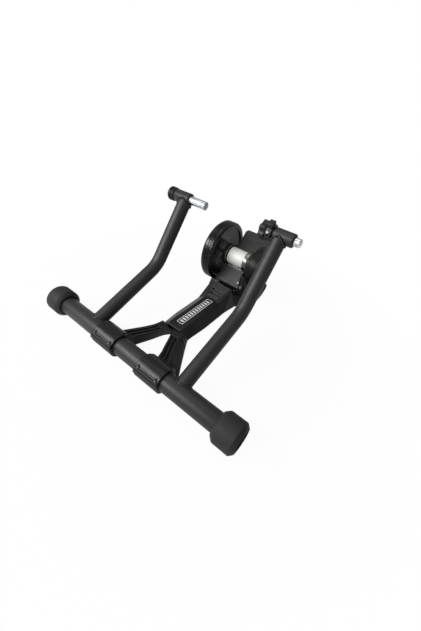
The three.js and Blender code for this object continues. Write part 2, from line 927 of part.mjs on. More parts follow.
function adjusterTower() {
  const boss = alongScrew(rod(tower_start, tower_start + tower_length, tower_radius, mid_sides));
  const feet = [-tower_half, tower_half].flatMap((x) => {
    return [[x, tower_front_y, tower_foot_z], [x, tower_back_y, tower_foot_z]];
  });
  const end = tower_start + tower_length;
  const knob_room = adjuster_knob_radius + adjuster_knob_clearance;
  const room = alongScrew(rod(end, end + 2 * adjuster_knob_length, knob_room, mid_sides));
  return cut(hull([...cornersOf(boss), ...feet]), room);
}

function rampOutline(inset) {
  const near = plate_near_half - inset;
  const far = plate_far_half - inset;
  const start = plate_start + inset;
  const end = plate_start + plate_length - inset;
  return shapeOf([[-near, start], [near, start], [far, end], [-far, end]]);
}

function slotBlocks(border, z0, z1) {
  const half = slot_length / 2 + border;
  const reach = slot_width / 2 + border;
  return [slot_inset, slot_inset + slot_spacing].map((place) => {
    return block(-half, half, place - reach, place + reach, z0, z1);
  });
}

function latchPlate() {
  const top = plate_thickness - plate_sink;
  const plate = prismZ(rampOutline(seat_gap), seat_gap - plate_sink, top);
  return inRamp(cut(plate, ...slotBlocks(0, -plate_thickness, top + cut_overrun)));
}

function badgeBlock(gap, z0, z1) {
  const half = badge_width / 2 - gap;
  const end = badge_start_y + badge_length - gap;
  return block(-half, half, badge_start_y + gap, end, z0, z1);
}

function standBody() {
  const upper_half = saddle();
  const room = shellRoom();
  const one_leg = cut(leg(), room);
  const ramp = hull([
    ...rowSection([ramp_start_y, bar_rows.at(-1)[1], bar_top_half, bar_top]),
    ...rowSection([ramp_end_y, ramp_base_half, ramp_top_half, ramp_top]),
  ]);
  const lug = hingeLug();
  const body = join(
    one_leg, mirrored(one_leg), upper_half, mirrored(upper_half),
    ...rowHulls(bar_rows), ramp, ...rowHulls(shelf_rows), ...rowHulls(foot_rows),
    lug, mirrored(lug), adjusterTower(),
  );
  const grooves = legGrooves();
  const bore_end = clamp_end + cut_overrun;
  const tube_bore = rod(-bore_end, bore_end, shell_inner, fine_sides).translate(0, 0, tube_z);
  const pocket = block(
    -pocket_half, pocket_half, pocket_start_y, pocket_start_y + pocket_length,
    stand_floor - cut_overrun, stand_floor + pocket_depth,
  );
  const badge_place = badgeBlock(0, bar_top - badge_sink, bar_top + cut_overrun);
  const plate_place = inRamp(prismZ(rampOutline(0), -plate_sink, plate_thickness + cut_overrun));
  const slot_place = inRamp(join(...slotBlocks(slot_pocket_border, -slot_pocket_depth, 0)));
  const pin_bore = rod(-hinge_half, hinge_half, hinge_radius + 2 * seat_gap + hinge_bush_wall, mid_sides)
    .translate(0, hinge_place.y, hinge_place.z);
  const bore_start = tower_start - cut_overrun;
  const screw_bore = alongScrew(
    rod(bore_start, tower_start + tower_length + cut_overrun, adjuster_radius + seat_gap, mid_sides),
  );
  const pad_bore_top = pad_screw_recess + pad_screw_length + seat_gap;
  const pad_bores = [-pad_centre_x, pad_centre_x].map((x) => {
    return upright(x, pad_centre_y, 0, pad_bore_top, pad_screw_radius + seat_gap, small_sides);
  });
  return cut(
    body, ...grooves, ...grooves.map(mirrored), tube_bore, pocket, badge_place, plate_place,
    slot_place, pin_bore, screw_bore, ...pad_bores,
  );
}

function footPad(side) {
  const half_x = pad_length / 2;
  const half_y = pad_width / 2;
  const x = side * pad_centre_x;
  const pad = block(
    x - half_x, x + half_x, pad_centre_y - half_y, pad_centre_y + half_y, 0, stand_floor - seat_gap,
  );
  const recess_radius = pad_screw_head + seat_gap;
  const hole = upright(x, pad_centre_y, 0, stand_floor, pad_screw_radius + seat_gap, small_sides);
  const recess = upright(x, pad_centre_y, -cut_overrun, pad_screw_recess, recess_radius, small_sides);
  return cut(pad, hole, recess);
}

function padScrew(side) {
  const pin = bolt(
    pad_screw_radius, pad_screw_length, pad_screw_head, pad_screw_head_length, small_sides,
  );
  const seat = pad_screw_recess - seat_gap;
  return pin.rotateY(Math.PI / 2).translate(side * pad_centre_x, pad_centre_y, seat);
}

function atHinge(geometry) {
  return geometry.translate(0, hinge_place.y, hinge_place.z);
}

function hingeClip() {
  const start = cheek_outer + seat_gap;
  const end = start + hinge_clip_width;
  return atHinge(ring(start, end, hinge_radius + seat_gap, hinge_clip_radius, mid_sides));
}

function hingeBush() {
  const inner = hinge_radius + seat_gap;
  const outer = inner + hinge_bush_wall;
  const step = lug_inner + lug_width + seat_gap;
  return atHinge(turned([
    [lug_inner, inner],
    [lug_inner, outer],
    [step, outer],
    [step, hinge_flange_radius],
    [step + hinge_flange_length, hinge_flange_radius],
    [step + hinge_flange_length, inner],
    [lug_inner, inner],
  ], mid_sides));
}

function thrustWasher() {
  const start = tower_start + tower_length + seat_gap;
  const inner = adjuster_radius + seat_gap;
  return alongScrew(ring(start, start + washer_length, inner, washer_radius, mid_sides));
}

const badge_floor = bar_top - badge_sink + seat_gap;
const badge_plate = badgeBlock(seat_gap, badge_floor, badge_floor + badge_thickness);

add(trainer, 'y_beam', standBody(), cast_paint);
add(trainer, 'clamp_shell_right', clampShell(), shell_paint);
add(trainer, 'clamp_shell_left', mirrored(clampShell()), shell_paint);
add(trainer, 'clamp_bush_right', clampBush(), plastic);
add(trainer, 'clamp_bush_left', mirrored(clampBush()), plastic);
add(trainer, 'clamp_bolt_right_inner', clampBolt(clamp_bolt_inner_x), bright_steel);
add(trainer, 'clamp_bolt_right_outer', clampBolt(clamp_bolt_outer_x), bright_steel);
add(trainer, 'clamp_bolt_left_inner', clampBolt(-clamp_bolt_inner_x), bright_steel);
add(trainer, 'clamp_bolt_left_outer', clampBolt(-clamp_bolt_outer_x), bright_steel);
add(trainer, 'badge_plate', badge_plate, gloss_black);
add(trainer, 'latch_plate', latchPlate(), bracket_paint);
add(trainer, 'foot_pad_right', footPad(1), rubber);
add(trainer, 'foot_pad_left', footPad(-1), rubber);
add(trainer, 'pad_screw_right', padScrew(1), plain_steel);
add(trainer, 'pad_screw_left', padScrew(-1), plain_steel);
add(trainer, 'hinge_pin', atHinge(rod(-hinge_half, hinge_half, hinge_radius, mid_sides)), plain_steel);
add(trainer, 'hinge_clip_right', hingeClip(), plain_steel);
add(trainer, 'hinge_clip_left', mirrored(hingeClip()), plain_steel);
add(trainer, 'hinge_bush_right', hingeBush(), plastic);
add(trainer, 'hinge_bush_left', mirrored(hingeBush()), plastic);
add(trainer, 'thrust_washer', thrustWasher(), plain_steel);

// Pressure adjuster

function pressureShoe() {
  const drop = nose_distance * Math.sin(adjuster_dip);
  const nose = rod(-shoe_half, shoe_half, shoe_radius, mid_sides)
    .translate(0, shoe_place.y + nose_distance * Math.cos(adjuster_dip), shoe_place.z - drop);
  const end = nose_distance + shoe_neck;
  const neck = alongScrew(rod(nose_distance, end, shoe_neck_radius, mid_sides));
  const bore = alongScrew(rod(end - shoe_bore, end + cut_overrun, adjuster_radius + seat_gap, mid_sides));
  return cut(join(nose, neck), bore);
}

function pressureScrew() {
  const start = nose_distance + shoe_neck - shoe_bore + seat_gap;
  return alongScrew(rod(start, adjuster_length, adjuster_radius, mid_sides));
}

function pressureKnob() {
  const start = tower_start + tower_length + washer_length + 2 * seat_gap;
  const end = start + adjuster_knob_length;
  const shape = lobedShape(adjuster_knob_radius, adjuster_knob_depth, adjuster_knob_lobes);
  const bore = rod(start - cut_overrun, end + cut_overrun, adjuster_radius + seat_gap, mid_sides);
  return alongScrew(cut(prismX(shape, start, end), bore));
}

add(trainer, 'pressure_shoe', pressureShoe(), plastic);
add(trainer, 'pressure_screw', pressureScrew(), plain_steel);
add(trainer, 'pressure_knob', pressureKnob(), plastic);

// Resistance unit, drawn about the roller axis and then leaned back

const bearing_start = cheek_outer - boss_web + seat_gap;

function bracketCheek() {
  const eye = rod(cheek_outer - cheek_wall, cheek_outer, cheek_radius, mid_sides)
    .translate(0, -hinge_u, -hinge_w);
  const tops = [cheek_top_x - cheek_wall, cheek_top_x].flatMap((x) => {
    return [[x, -cheek_top_u, -bracket_set_back - seat_gap], [x, -cheek_top_u, -cheek_top_depth]];
  });
  const feet = [cheek_outer - cheek_wall, cheek_outer].map((x) => {
    return [x, -cheek_foot_u, -bracket_set_back - seat_gap];
  });
  const room = rod(0, cheek_outer - cheek_wall, lug_room, mid_sides).translate(0, -hinge_u, -hinge_w);
  return cut(hull([...cornersOf(eye), ...tops, ...feet]), room);
}

function bossProfile(end) {
  const web = cheek_outer - boss_web;
  const lip = cheek_outer - boss_lip;
  const seat = bearing_radius - boss_lip;
  const mouth = [[web, boss_mouth_radius], [boss_start, boss_mouth_radius], [boss_start, boss_radius]];
  const bearing_seat = [[cheek_outer, seat], [lip, seat], [lip, bearing_radius], [web, bearing_radius]];
  const tail = end > cheek_outer
    ? [[end, boss_radius], [end, boss_mouth_radius], [cheek_outer, boss_mouth_radius]]
    : [[cheek_outer, boss_radius]];
  return [...mouth, ...tail, ...bearing_seat, mouth[0]];
}

function unitBracket() {
  const plate = prismZ(shapeOf(bracket_outline), -bracket_back, -bracket_set_back);
  const window_hole = block(
    -window_half, window_half, -window_reach, window_reach,
    -bracket_back - cut_overrun, cut_overrun - bracket_set_back,
  );
  const lip = block(
    -lip_left, lip_right, bracket_top_u - bracket_thickness, bracket_top_u,
    -bracket_back - lip_depth, -bracket_back + seat_gap,
  );
  const left_boss = mirrored(turned(bossProfile(cheek_outer), fine_sides));
  const right_boss = turned(bossProfile(housing_left - seat_gap), fine_sides);
  const cheek = bracketCheek();
  const inside = rod(-cheek_outer, housing_left, boss_mouth_radius, fine_sides);
  const webs = [left_boss, right_boss];
  const body = join(cut(plate, window_hole, inside), lip, ...webs, cheek, mirrored(cheek));
  const pin_hole = rod(-hinge_half, hinge_half, hinge_radius + seat_gap, mid_sides)
    .translate(0, -hinge_u, -hinge_w);
  const holes = [0, bracket_hole_step].map((step) => upright(
    bracket_hole_x + step, bracket_hole_u + step / 3,
    -bracket_set_back - bracket_hole_depth, cut_overrun - bracket_set_back,
    bracket_hole_radius, small_sides,
  ));
  const bolt_depth = bracket_set_back + bracket_bolt_length + seat_gap;
  const bolt_hole = upright(
    bracket_bolt_x, -bracket_bolt_u, -bolt_depth, cut_overrun - bracket_set_back,
    bracket_bolt_radius + seat_gap, small_sides,
  );
  return inUnit(cut(body, pin_hole, ...holes, bolt_hole));
}

function bracketBolt() {
  const pin = bolt(
    bracket_bolt_radius, bracket_bolt_length, bracket_bolt_head, bracket_bolt_head_length, small_sides,
  );
  const seat = seat_gap - bracket_set_back;
  return inUnit(pin.rotateY(-Math.PI / 2).translate(bracket_bolt_x, -bracket_bolt_u, seat));
}

function bearing() {
  const end = bearing_start + bearing_width;
  return ring(bearing_start, end, shaft_radius + seat_gap, bearing_radius - seat_gap, mid_sides);
}

function screwCircle() {
  const reach = housing_radius - cover_screw_inset;
  return Array.from({ length: cover_screws }, (unused, index) => {
    const angle = (2 * Math.PI * (index + 1 / 2)) / cover_screws;
    return [reach * Math.cos(angle), reach * Math.sin(angle)];
  });
}

function atInlet(geometry) {
  const side = inlet_reach * Math.cos(inlet_angle);
  const drop = inlet_reach * Math.sin(inlet_angle);
  return geometry.translate(0, -side, -drop);
}

function brakeHousing() {
  const end = housing_left + housing_length;
  const wall = housing_left + housing_wall;
  const shell = turned([
    [housing_left, housing_bore],
    [housing_left, housing_radius - housing_round],
    [housing_left + housing_round / 3, housing_radius - housing_round / 3],
    [housing_left + housing_round, housing_radius],
    [end, housing_radius],
    [end, housing_radius - housing_wall],
    [wall, housing_radius - housing_wall],
    [wall, housing_bore],
    [housing_left, housing_bore],
  ], wheel_sides);
  const posts = screwCircle().map(([u, w]) => {
    return rod(wall - seat_gap, end, post_radius, small_sides).translate(0, u, w);
  });
  const bores = screwCircle().map(([u, w]) => {
    const bore = cover_screw_radius + seat_gap;
    return rod(wall + cut_overrun, end + cut_overrun, bore, small_sides).translate(0, u, w);
  });
  const inlet_hole = rod(
    housing_left - cut_overrun, wall + cut_overrun, inlet_radius + seat_gap, small_sides,
  );
  return inUnit(cut(join(shell, ...posts), ...bores, atInlet(inlet_hole)));
}

function housingCover() {
  const start = housing_left + housing_length + seat_gap;
  const end = start + cover_length;
  const step_radius = housing_radius - cover_step_inset;
  const shoulder = end - cover_step;
  const flange = housing_radius - cover_flange;
  const hub_floor = end - cover_hub_depth - cover_wall;
  const shell = turned([
    [start, flange],
    [start, housing_radius],
    [shoulder - cover_step, housing_radius],
    [shoulder, housing_radius - cover_step],
    [shoulder, step_radius],
    [end, step_radius - cover_step],
    [end, cover_hub_radius],
    [end - cover_hub_depth, cover_hub_radius - cover_hub_depth],
    [end - cover_hub_depth, 0],
    [hub_floor, 0],
    [hub_floor, cover_hub_radius + cover_step],
    [end - cover_wall, cover_hub_radius + cover_step],
    [end - cover_wall, step_radius - 2 * cover_step],
    [shoulder - cover_wall, step_radius - cover_step],
    [shoulder - cover_wall, flange],
    [start, flange],
  ].reverse(), wheel_sides);
  const posts = [-1, 1].map((side) => {
    const back = board_x + board_thickness + seat_gap;
    return rod(back, end - cover_step, board_post, small_sides).translate(0, board_u, side * board_post_w);
  });
  const bores = screwCircle().map(([u, w]) => {
    const bore = cover_screw_radius + seat_gap;
    return rod(start - cut_overrun, end, bore, small_sides).translate(0, u, w);
  });
  return inUnit(cut(join(shell, ...posts), ...bores));
}

function coverScrew([u, w]) {
  const seat = housing_left + housing_length + 2 * seat_gap + cover_length - cover_step;
  const pin = bolt(
    cover_screw_radius, cover_screw_length, cover_screw_head, cover_screw_head_length, small_sides,
  );
  return inUnit(pin.translate(seat, u, w));
}

const carrier_start = housing_left + housing_wall + seat_gap;

function coilCarrier() {
  return inUnit(ring(carrier_start, carrier_start + coil_length, coil_inner, coil_outer, fine_sides));
}

function coilRing() {
  const start = carrier_start + coil_length + seat_gap;
  const reach = (coil_inner + coil_outer) / 2;
  const link = ring(start, start + coil_link_width, reach - coil_link, reach + coil_link, mid_sides);
  const discs = Array.from({ length: coil_count }, (unused, index) => {
    const angle = (2 * Math.PI * index) / coil_count;
    const disc = rod(start, start + coil_height, coil_radius, small_sides);
    return disc.translate(0, reach * Math.cos(angle), reach * Math.sin(angle));
  });
  return inUnit(join(link, ...discs));
}

function circuitBoard() {
  const half_u = board_height / 2;
  const half_w = board_width / 2;
  return inUnit(block(
    board_x, board_x + board_thickness, board_u - half_u, board_u + half_u, -half_w, half_w,
  ));
}

function powerInlet() {
  const flange_end = housing_left - seat_gap;
  const flange_start = flange_end - inlet_flange_length;
  const start = housing_left - inlet_length;
  return inUnit(atInlet(turned([
    [start + inlet_bore_depth, 0],
    [start + inlet_bore_depth, inlet_bore],
    [start, inlet_bore],
    [start, inlet_radius],
    [flange_start, inlet_radius],
    [flange_start, inlet_flange],
    [flange_end, inlet_flange],
    [flange_end, inlet_radius],
    [housing_left + inlet_tail, inlet_radius],
    [housing_left + inlet_tail, 0],
  ], small_sides)));
}

add(trainer, 'unit_bracket', unitBracket(), bracket_paint);
add(trainer, 'bracket_bolt', bracketBolt(), bright_steel);
add(trainer, 'bearing_right', inUnit(bearing()), plain_steel);
add(trainer, 'bearing_left', inUnit(mirrored(bearing())), plain_steel);
add(trainer, 'brake_housing', brakeHousing(), gloss_black);
add(trainer, 'housing_cover', housingCover(), gloss_black);
screwCircle().forEach((place, index) => {
  add(trainer, `cover_screw_${index + 1}`, coverScrew(place), plain_steel);
});
add(trainer, 'coil_carrier', coilCarrier(), plain_steel);
add(trainer, 'coil_ring', coilRing(), copper);
add(trainer, 'circuit_board', circuitBoard(), board_green);
add(trainer, 'power_inlet', powerInlet(), plastic);

// Turning pieces on the shaft

const shaft_bore = shaft_radius + seat_gap;

function roller() {
  return turned([
    [-roller_half, shaft_bore],
    [-roller_half, roller_radius - roller_edge],
    [-roller_half + roller_edge, roller_radius],
    [roller_half - roller_edge, roller_radius],
    [roller_half, roller_radius - roller_edge],
    [roller_half, shaft_bore],
    [-roller_half, shaft_bore],
  ], fine_sides);
}

function flywheel() {
  const right = -flywheel_right;
  const left = right - flywheel_width;
  const shoulder = left + flywheel_shoulder_width;
  const hub_left = left + flywheel_hub_set_in;
  const web_right = right - flywheel_dish;
  const web_left = web_right - flywheel_web;
  const dish_radius = flywheel_radius - flywheel_lip;
  const groove_floor = flywheel_radius - flywheel_groove_depth;
  const grooves = [1, 0].flatMap((step) => {
    const end = right - flywheel_groove_inset - step * flywheel_groove_pitch;
    const start = end - flywheel_groove_width;
    return [[start, flywheel_radius], [start, groove_floor], [end, groove_floor], [end, flywheel_radius]];
  });
  const left_rim = flywheel_radius - flywheel_shoulder;
  const well_radius = left_rim - flywheel_wall;
  return turned([
    [hub_left, shaft_bore],
    [hub_left, flywheel_hub_radius],
    [web_left, flywheel_hub_radius],
    [web_left, well_radius],
    [left, well_radius],
    [left, left_rim],
    [left + flywheel_shoulder_width / 4, flywheel_radius - flywheel_shoulder / 2],
    [left + flywheel_shoulder_width / 2, flywheel_radius - flywheel_shoulder / 5],
    [shoulder, flywheel_radius],
    ...grooves,
    [right - flywheel_chamfer, flywheel_radius],
    [right, flywheel_radius - flywheel_chamfer],
    [right, dish_radius],
    [web_right, dish_radius],
    [web_right, shaft_bore],
    [hub_left, shaft_bore],
  ], wheel_sides);
}

function flywheelNut() {
  const end = -flywheel_right - flywheel_width + flywheel_hub_set_in - seat_gap;
  const bore = rod(end - nut_length - cut_overrun, end + cut_overrun, shaft_bore, mid_sides);
  return cut(rod(end - nut_length, end, nut_radius, nut_sides), bore);
}

function brakeRotor() {
  const start = rotor_x - rotor_width / 2;
  return turned([
    [start, shaft_bore],
    [start, rotor_radius],
    [start + rotor_width, rotor_radius],
    [start + rotor_width, rotor_hub_radius],
    [start + rotor_hub_length, rotor_hub_radius],
    [start + rotor_hub_length, shaft_bore],
    [start, shaft_bore],
  ], fine_sides);
}

add(trainer, 'roller', inUnit(roller()), satin_alloy);
add(trainer, 'flywheel', inUnit(flywheel()), gloss_black);
add(trainer, 'flywheel_nut', inUnit(flywheelNut()), plain_steel);
add(trainer, 'brake_rotor', inUnit(brakeRotor()), plain_steel);
add(trainer, 'roller_shaft', inUnit(rod(-shaft_left, shaft_right, shaft_radius, mid_sides)), plain_steel);

export default trainer;
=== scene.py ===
# Wheel-on bike trainer: folding tube frame, cast Y-shaped stand and a swinging resistance unit.
# Sizes of pieces are written in millimetres; the scene, its floor, lamps and camera are in metres.
import math
import bmesh
import bpy
from mathutils import Matrix, Vector, noise


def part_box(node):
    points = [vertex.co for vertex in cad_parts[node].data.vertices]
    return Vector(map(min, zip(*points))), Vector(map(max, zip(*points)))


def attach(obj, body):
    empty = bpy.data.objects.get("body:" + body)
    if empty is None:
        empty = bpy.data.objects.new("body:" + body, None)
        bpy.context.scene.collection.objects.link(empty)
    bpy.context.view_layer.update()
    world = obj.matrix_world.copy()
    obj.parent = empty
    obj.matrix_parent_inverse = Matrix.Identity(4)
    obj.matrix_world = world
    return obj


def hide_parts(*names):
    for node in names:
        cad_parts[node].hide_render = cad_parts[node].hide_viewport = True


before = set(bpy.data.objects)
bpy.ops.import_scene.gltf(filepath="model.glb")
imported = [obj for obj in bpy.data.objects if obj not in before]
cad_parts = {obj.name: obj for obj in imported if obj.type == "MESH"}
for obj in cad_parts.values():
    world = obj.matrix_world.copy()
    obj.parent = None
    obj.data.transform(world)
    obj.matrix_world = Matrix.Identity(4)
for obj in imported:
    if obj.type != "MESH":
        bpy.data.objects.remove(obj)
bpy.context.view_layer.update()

MM = 0.001
BACK = 257.125  # from the base tube's axis to the origin, which lies under the trainer's middle
SIDES = (("right", 1), ("left", -1))
EASED_ANGLE = math.radians(28)

# Arms, along their own axes
ARM_X = 157  # from the middle plane
ARM_RADIUS = 20
ARM_RISE = math.radians(20)
ARM_BEND = math.radians(34.1)
ARM_START = 14  # from the base tube's axis
ARM_LOWER = 253  # from the base tube's axis to the corner of the bend
ARM_UPPER = 214  # from that corner to the barrel's axis
ARM_SHORT = 10  # by which the upper end stops before the barrel's axis
BEND_RADIUS = 90
BEAD_RADIUS = 2.8
BEAD_RING = 20.6  # radius of the ring that the bead's middle follows round an arm
FOOT_SEAT, HEAD_SEAT = 24.6, 21.0  # radii that the beads are seated on
RIPPLES, RIPPLE_HEIGHT = 30, 0.16

# Axes and places
HEAD_REACH = ARM_LOWER * math.cos(ARM_RISE) + ARM_UPPER * math.cos(ARM_RISE + ARM_BEND)
HEAD_RISE = ARM_LOWER * math.sin(ARM_RISE) + ARM_UPPER * math.sin(ARM_RISE + ARM_BEND)
TUBE_AXIS = Vector((0, -BACK, 38.75)) * MM
HEAD_AXIS = TUBE_AXIS + Vector((0, HEAD_REACH, HEAD_RISE)) * MM
ROLLER_AXIS = Vector((0, 455 - BACK, 132.1)) * MM
UNIT_LEAN = math.radians(47.7)
# The unit's own frame has X along the roller and Y up the bracket's plate
UNIT_PLACE = Matrix.Translation(ROLLER_AXIS) @ Matrix.Rotation(UNIT_LEAN, 4, "X")
HINGE_AXIS = UNIT_PLACE @ (Vector((0, -82.9, -22)) * MM)
SCREW_START = UNIT_PLACE @ (Vector((0, -50, -9.4)) * MM)
SCREW_DIP = math.radians(20)
CLAMP_TURN = math.radians(-25)


# Shader groups

def new_group(name, inputs, outputs):
    tree = bpy.data.node_groups.new(name, "ShaderNodeTree")
    for label, kind, value in inputs:
        socket = tree.interface.new_socket(name=label, in_out="INPUT", socket_type=kind)
        if value is not None:
            socket.default_value = value
    for label, kind in outputs:
        tree.interface.new_socket(name=label, in_out="OUTPUT", socket_type=kind)
    return tree, tree.nodes.new("NodeGroupInput"), tree.nodes.new("NodeGroupOutput")


def noise_node(tree, vector, scale, detail=3.0, roughness=0.5):
    node = tree.nodes.new("ShaderNodeTexNoise")
    node.inputs["Detail"].default_value = detail
    node.inputs["Roughness"].default_value = roughness
    tree.links.new(vector, node.inputs["Vector"])
    if isinstance(scale, (int, float)):
        node.inputs["Scale"].default_value = scale
    else:
        tree.links.new(scale, node.inputs["Scale"])
    return node.outputs["Fac"]


def math_node(tree, operation, first, second):
    node = tree.nodes.new("ShaderNodeMath")
    node.operation = operation
    for index, value in enumerate((first, second)):
        if isinstance(value, (int, float)):
            node.inputs[index].default_value = value
        else:
            tree.links.new(value, node.inputs[index])
    return node.outputs[0]


def range_node(tree, value, low, high, new_low, new_high):
    node = tree.nodes.new("ShaderNodeMapRange")
    node.clamp = True
    tree.links.new(value, node.inputs["Value"])
    ends = (("From Min", low), ("From Max", high), ("To Min", new_low), ("To Max", new_high))
    for label, number in ends:
        node.inputs[label].default_value = number
    return node.outputs["Result"]


def mix_node(tree, factor, first, second):
    node = tree.nodes.new("ShaderNodeMix")
    node.data_type = "RGBA"
    tree.links.new(factor, node.inputs["Factor"])
    for index, value in ((6, first), (7, second)):
        if isinstance(value, tuple):
            node.inputs[index].default_value = value
        else:
            tree.links.new(value, node.inputs[index])
    return node.outputs[2]


def paint_grain_group():
    """Fine orange peel of a paint or a moulding, with a broad cloud for its tone."""
    tree, enter, leave = new_group(
        "paint_grain",
        [("Vector", "NodeSocketVector", None), ("Grain Scale", "NodeSocketFloat", 900.0),
         ("Cloud Scale", "NodeSocketFloat", 14.0)],
        [("Height", "NodeSocketFloat"), ("Cloud", "NodeSocketFloat")],
    )
    fine = noise_node(tree, enter.outputs["Vector"], enter.outputs["Grain Scale"], detail=2.0)
    cloud = noise_node(
        tree, enter.outputs["Vector"], enter.outputs["Cloud Scale"], detail=4.0, roughness=0.6,
    )
    tree.links.new(fine, leave.inputs["Height"])
    tree.links.new(range_node(tree, cloud, 0.3, 0.7, 0.0, 1.0), leave.inputs["Cloud"])
    return tree


def handled_group():
    """Smudges and fine rubs: one mask of soft spots and one of short scratches."""
    tree, enter, leave = new_group(
        "handled",
        [("Vector", "NodeSocketVector", None)],
        [("Smudge", "NodeSocketFloat"), ("Scratch", "NodeSocketFloat")],
    )
    smudge = noise_node(tree, enter.outputs["Vector"], scale=32.0, detail=5.0, roughness=0.65)
    stretch = tree.nodes.new("ShaderNodeMapping")
    stretch.inputs["Rotation"].default_value = (0.3, 0.5, 0.9)
    stretch.inputs["Scale"].default_value = (26.0, 420.0, 420.0)
    tree.links.new(enter.outputs["Vector"], stretch.inputs["Vector"])
    streak = noise_node(tree, stretch.outputs["Vector"], scale=1.0, detail=2.0)
    tree.links.new(range_node(tree, smudge, 0.52, 0.78, 0.0, 1.0), leave.inputs["Smudge"])
    tree.links.new(range_node(tree, streak, 0.69, 0.76, 0.0, 1.0), leave.inputs["Scratch"])
    return tree


def turned_group():
    """Tool lines of a turned piece, which run round the X direction."""
    tree, enter, leave = new_group(
        "turned_lines",
        [("Vector", "NodeSocketVector", None), ("Pitch", "NodeSocketFloat", 2400.0)],
        [("Lines", "NodeSocketFloat")],
    )
    split = tree.nodes.new("ShaderNodeSeparateXYZ")
    tree.links.new(enter.outputs["Vector"], split.inputs[0])
    along = math_node(tree, "MULTIPLY", split.outputs["X"], enter.outputs["Pitch"])
    join = tree.nodes.new("ShaderNodeCombineXYZ")
    tree.links.new(along, join.inputs["X"])
    tree.links.new(math_node(tree, "MULTIPLY", split.outputs["Y"], 6.0), join.inputs["Y"])
    tree.links.new(math_node(tree, "MULTIPLY", split.outputs["Z"], 6.0), join.inputs["Z"])
    lines = noise_node(tree, join.outputs[0], scale=1.0, roughness=0.7)
    tree.links.new(lines, leave.inputs["Lines"])
    return tree


def wrinkle_group():
    """Wrinkled gloss enamel on a rough casting: broad dimples with smooth crowns."""
    tree, enter, leave = new_group(
        "wrinkle",
        [("Vector", "NodeSocketVector", None), ("Scale", "NodeSocketFloat", 150.0)],
        [("Height", "NodeSocketFloat")],
    )
    cells = tree.nodes.new("ShaderNodeTexVoronoi")
    cells.feature = "SMOOTH_F1"
    cells.inputs["Smoothness"].default_value = 0.6
    tree.links.new(enter.outputs["Vector"], cells.inputs["Vector"])
    tree.links.new(enter.outputs["Scale"], cells.inputs["Scale"])
    rough = noise_node(tree, enter.outputs["Vector"], enter.outputs["Scale"])
    tree.links.new(math_node(tree, "ADD", cells.outputs["Distance"], rough), leave.inputs["Height"])
    return tree


PAINT_GRAIN = paint_grain_group()
HANDLED = handled_group()
TURNED_LINES = turned_group()
WRINKLE = wrinkle_group()


# Materials

def start_material(name):
    made = bpy.data.materials.new(name)
    made.use_nodes = True
    tree = made.node_tree
    shader = tree.nodes["Principled BSDF"]
    place = tree.nodes.new("ShaderNodeTexCoord").outputs["Object"]
    return made, tree, shader, place


def group_node(tree, group, place, **values):
    node = tree.nodes.new("ShaderNodeGroup")
    node.node_tree = group
    tree.links.new(place, node.inputs["Vector"])
    for label, value in values.items():
        node.inputs[label.replace("_", " ")].default_value = value
    return node


def bump_node(tree, height, strength, distance):
    node = tree.nodes.new("ShaderNodeBump")
    node.inputs["Strength"].default_value = strength
    node.inputs["Distance"].default_value = distance
    tree.links.new(height, node.inputs["Height"])
    return node.outputs["Normal"]


def grey(level):
    return (level, level, level)


def coated(name, dark, light, rough, specular, grain, grain_height):
    """Paint, powder coat, rubber or moulded plastic: two near tones, grain and handling marks."""
    made, tree, shader, place = start_material(name)
    surface = group_node(tree, PAINT_GRAIN, place, Grain_Scale=grain)
    marks = group_node(tree, HANDLED, place)
    tone = mix_node(tree, surface.outputs["Cloud"], (*dark, 1), (*light, 1))
    scuffed = tuple(min(1.0, channel * 1.6 + 0.004) for channel in light)
    worn = math_node(tree, "MULTIPLY", marks.outputs["Scratch"], 0.35)
    tone = mix_node(tree, worn, tone, (*scuffed, 1))
    tree.links.new(tone, shader.inputs["Base Color"])
    gloss = range_node(tree, marks.outputs["Smudge"], 0.0, 1.0, rough, rough + 0.09)
    tree.links.new(gloss, shader.inputs["Roughness"])
    bump = bump_node(tree, surface.outputs["Height"], 0.5, grain_height)
    tree.links.new(bump, shader.inputs["Normal"])
    shader.inputs["Specular IOR Level"].default_value = specular
    return made


def bare_metal(
    name, dark, light, rough, pitch=2400.0, line_height=0.00002, turned=True, metallic=1.0,
):
    """Turned, plated or plain metal with tool lines or a fine grain."""
    made, tree, shader, place = start_material(name)
    marks = group_node(tree, HANDLED, place)
    if turned:
        lines = group_node(tree, TURNED_LINES, place, Pitch=pitch).outputs["Lines"]
    else:
        lines = group_node(tree, PAINT_GRAIN, place, Grain_Scale=pitch).outputs["Height"]
    spread = range_node(tree, lines, 0.3, 0.7, 0.0, 1.0)
    tree.links.new(mix_node(tree, spread, (*dark, 1), (*light, 1)), shader.inputs["Base Color"])
    worked = range_node(tree, lines, 0.3, 0.7, rough - 0.05, rough + 0.06)
    smudged = math_node(tree, "MULTIPLY", marks.outputs["Smudge"], 0.08)
    tree.links.new(math_node(tree, "ADD", worked, smudged), shader.inputs["Roughness"])
    tree.links.new(bump_node(tree, lines, 0.6, line_height), shader.inputs["Normal"])
    shader.inputs["Metallic"].default_value = metallic
    return made


def gloss_enamel(name, dark, light, rough, specular, wrinkle_scale, wrinkle_height):
    """Smooth dark enamel over the broad dimples of a casting."""
    made, tree, shader, place = start_material(name)
    surface = group_node(tree, WRINKLE, place, Scale=wrinkle_scale)
    marks = group_node(tree, HANDLED, place)
    cloud = group_node(tree, PAINT_GRAIN, place).outputs["Cloud"]
    tree.links.new(mix_node(tree, cloud, (*dark, 1), (*light, 1)), shader.inputs["Base Color"])
    gloss = range_node(tree, marks.outputs["Smudge"], 0.0, 1.0, rough, rough + 0.1)
    tree.links.new(gloss, shader.inputs["Roughness"])
    bump = bump_node(tree, surface.outputs["Height"], 0.7, wrinkle_height)
    tree.links.new(bump, shader.inputs["Normal"])
    shader.inputs["Specular IOR Level"].default_value = specular
    return made


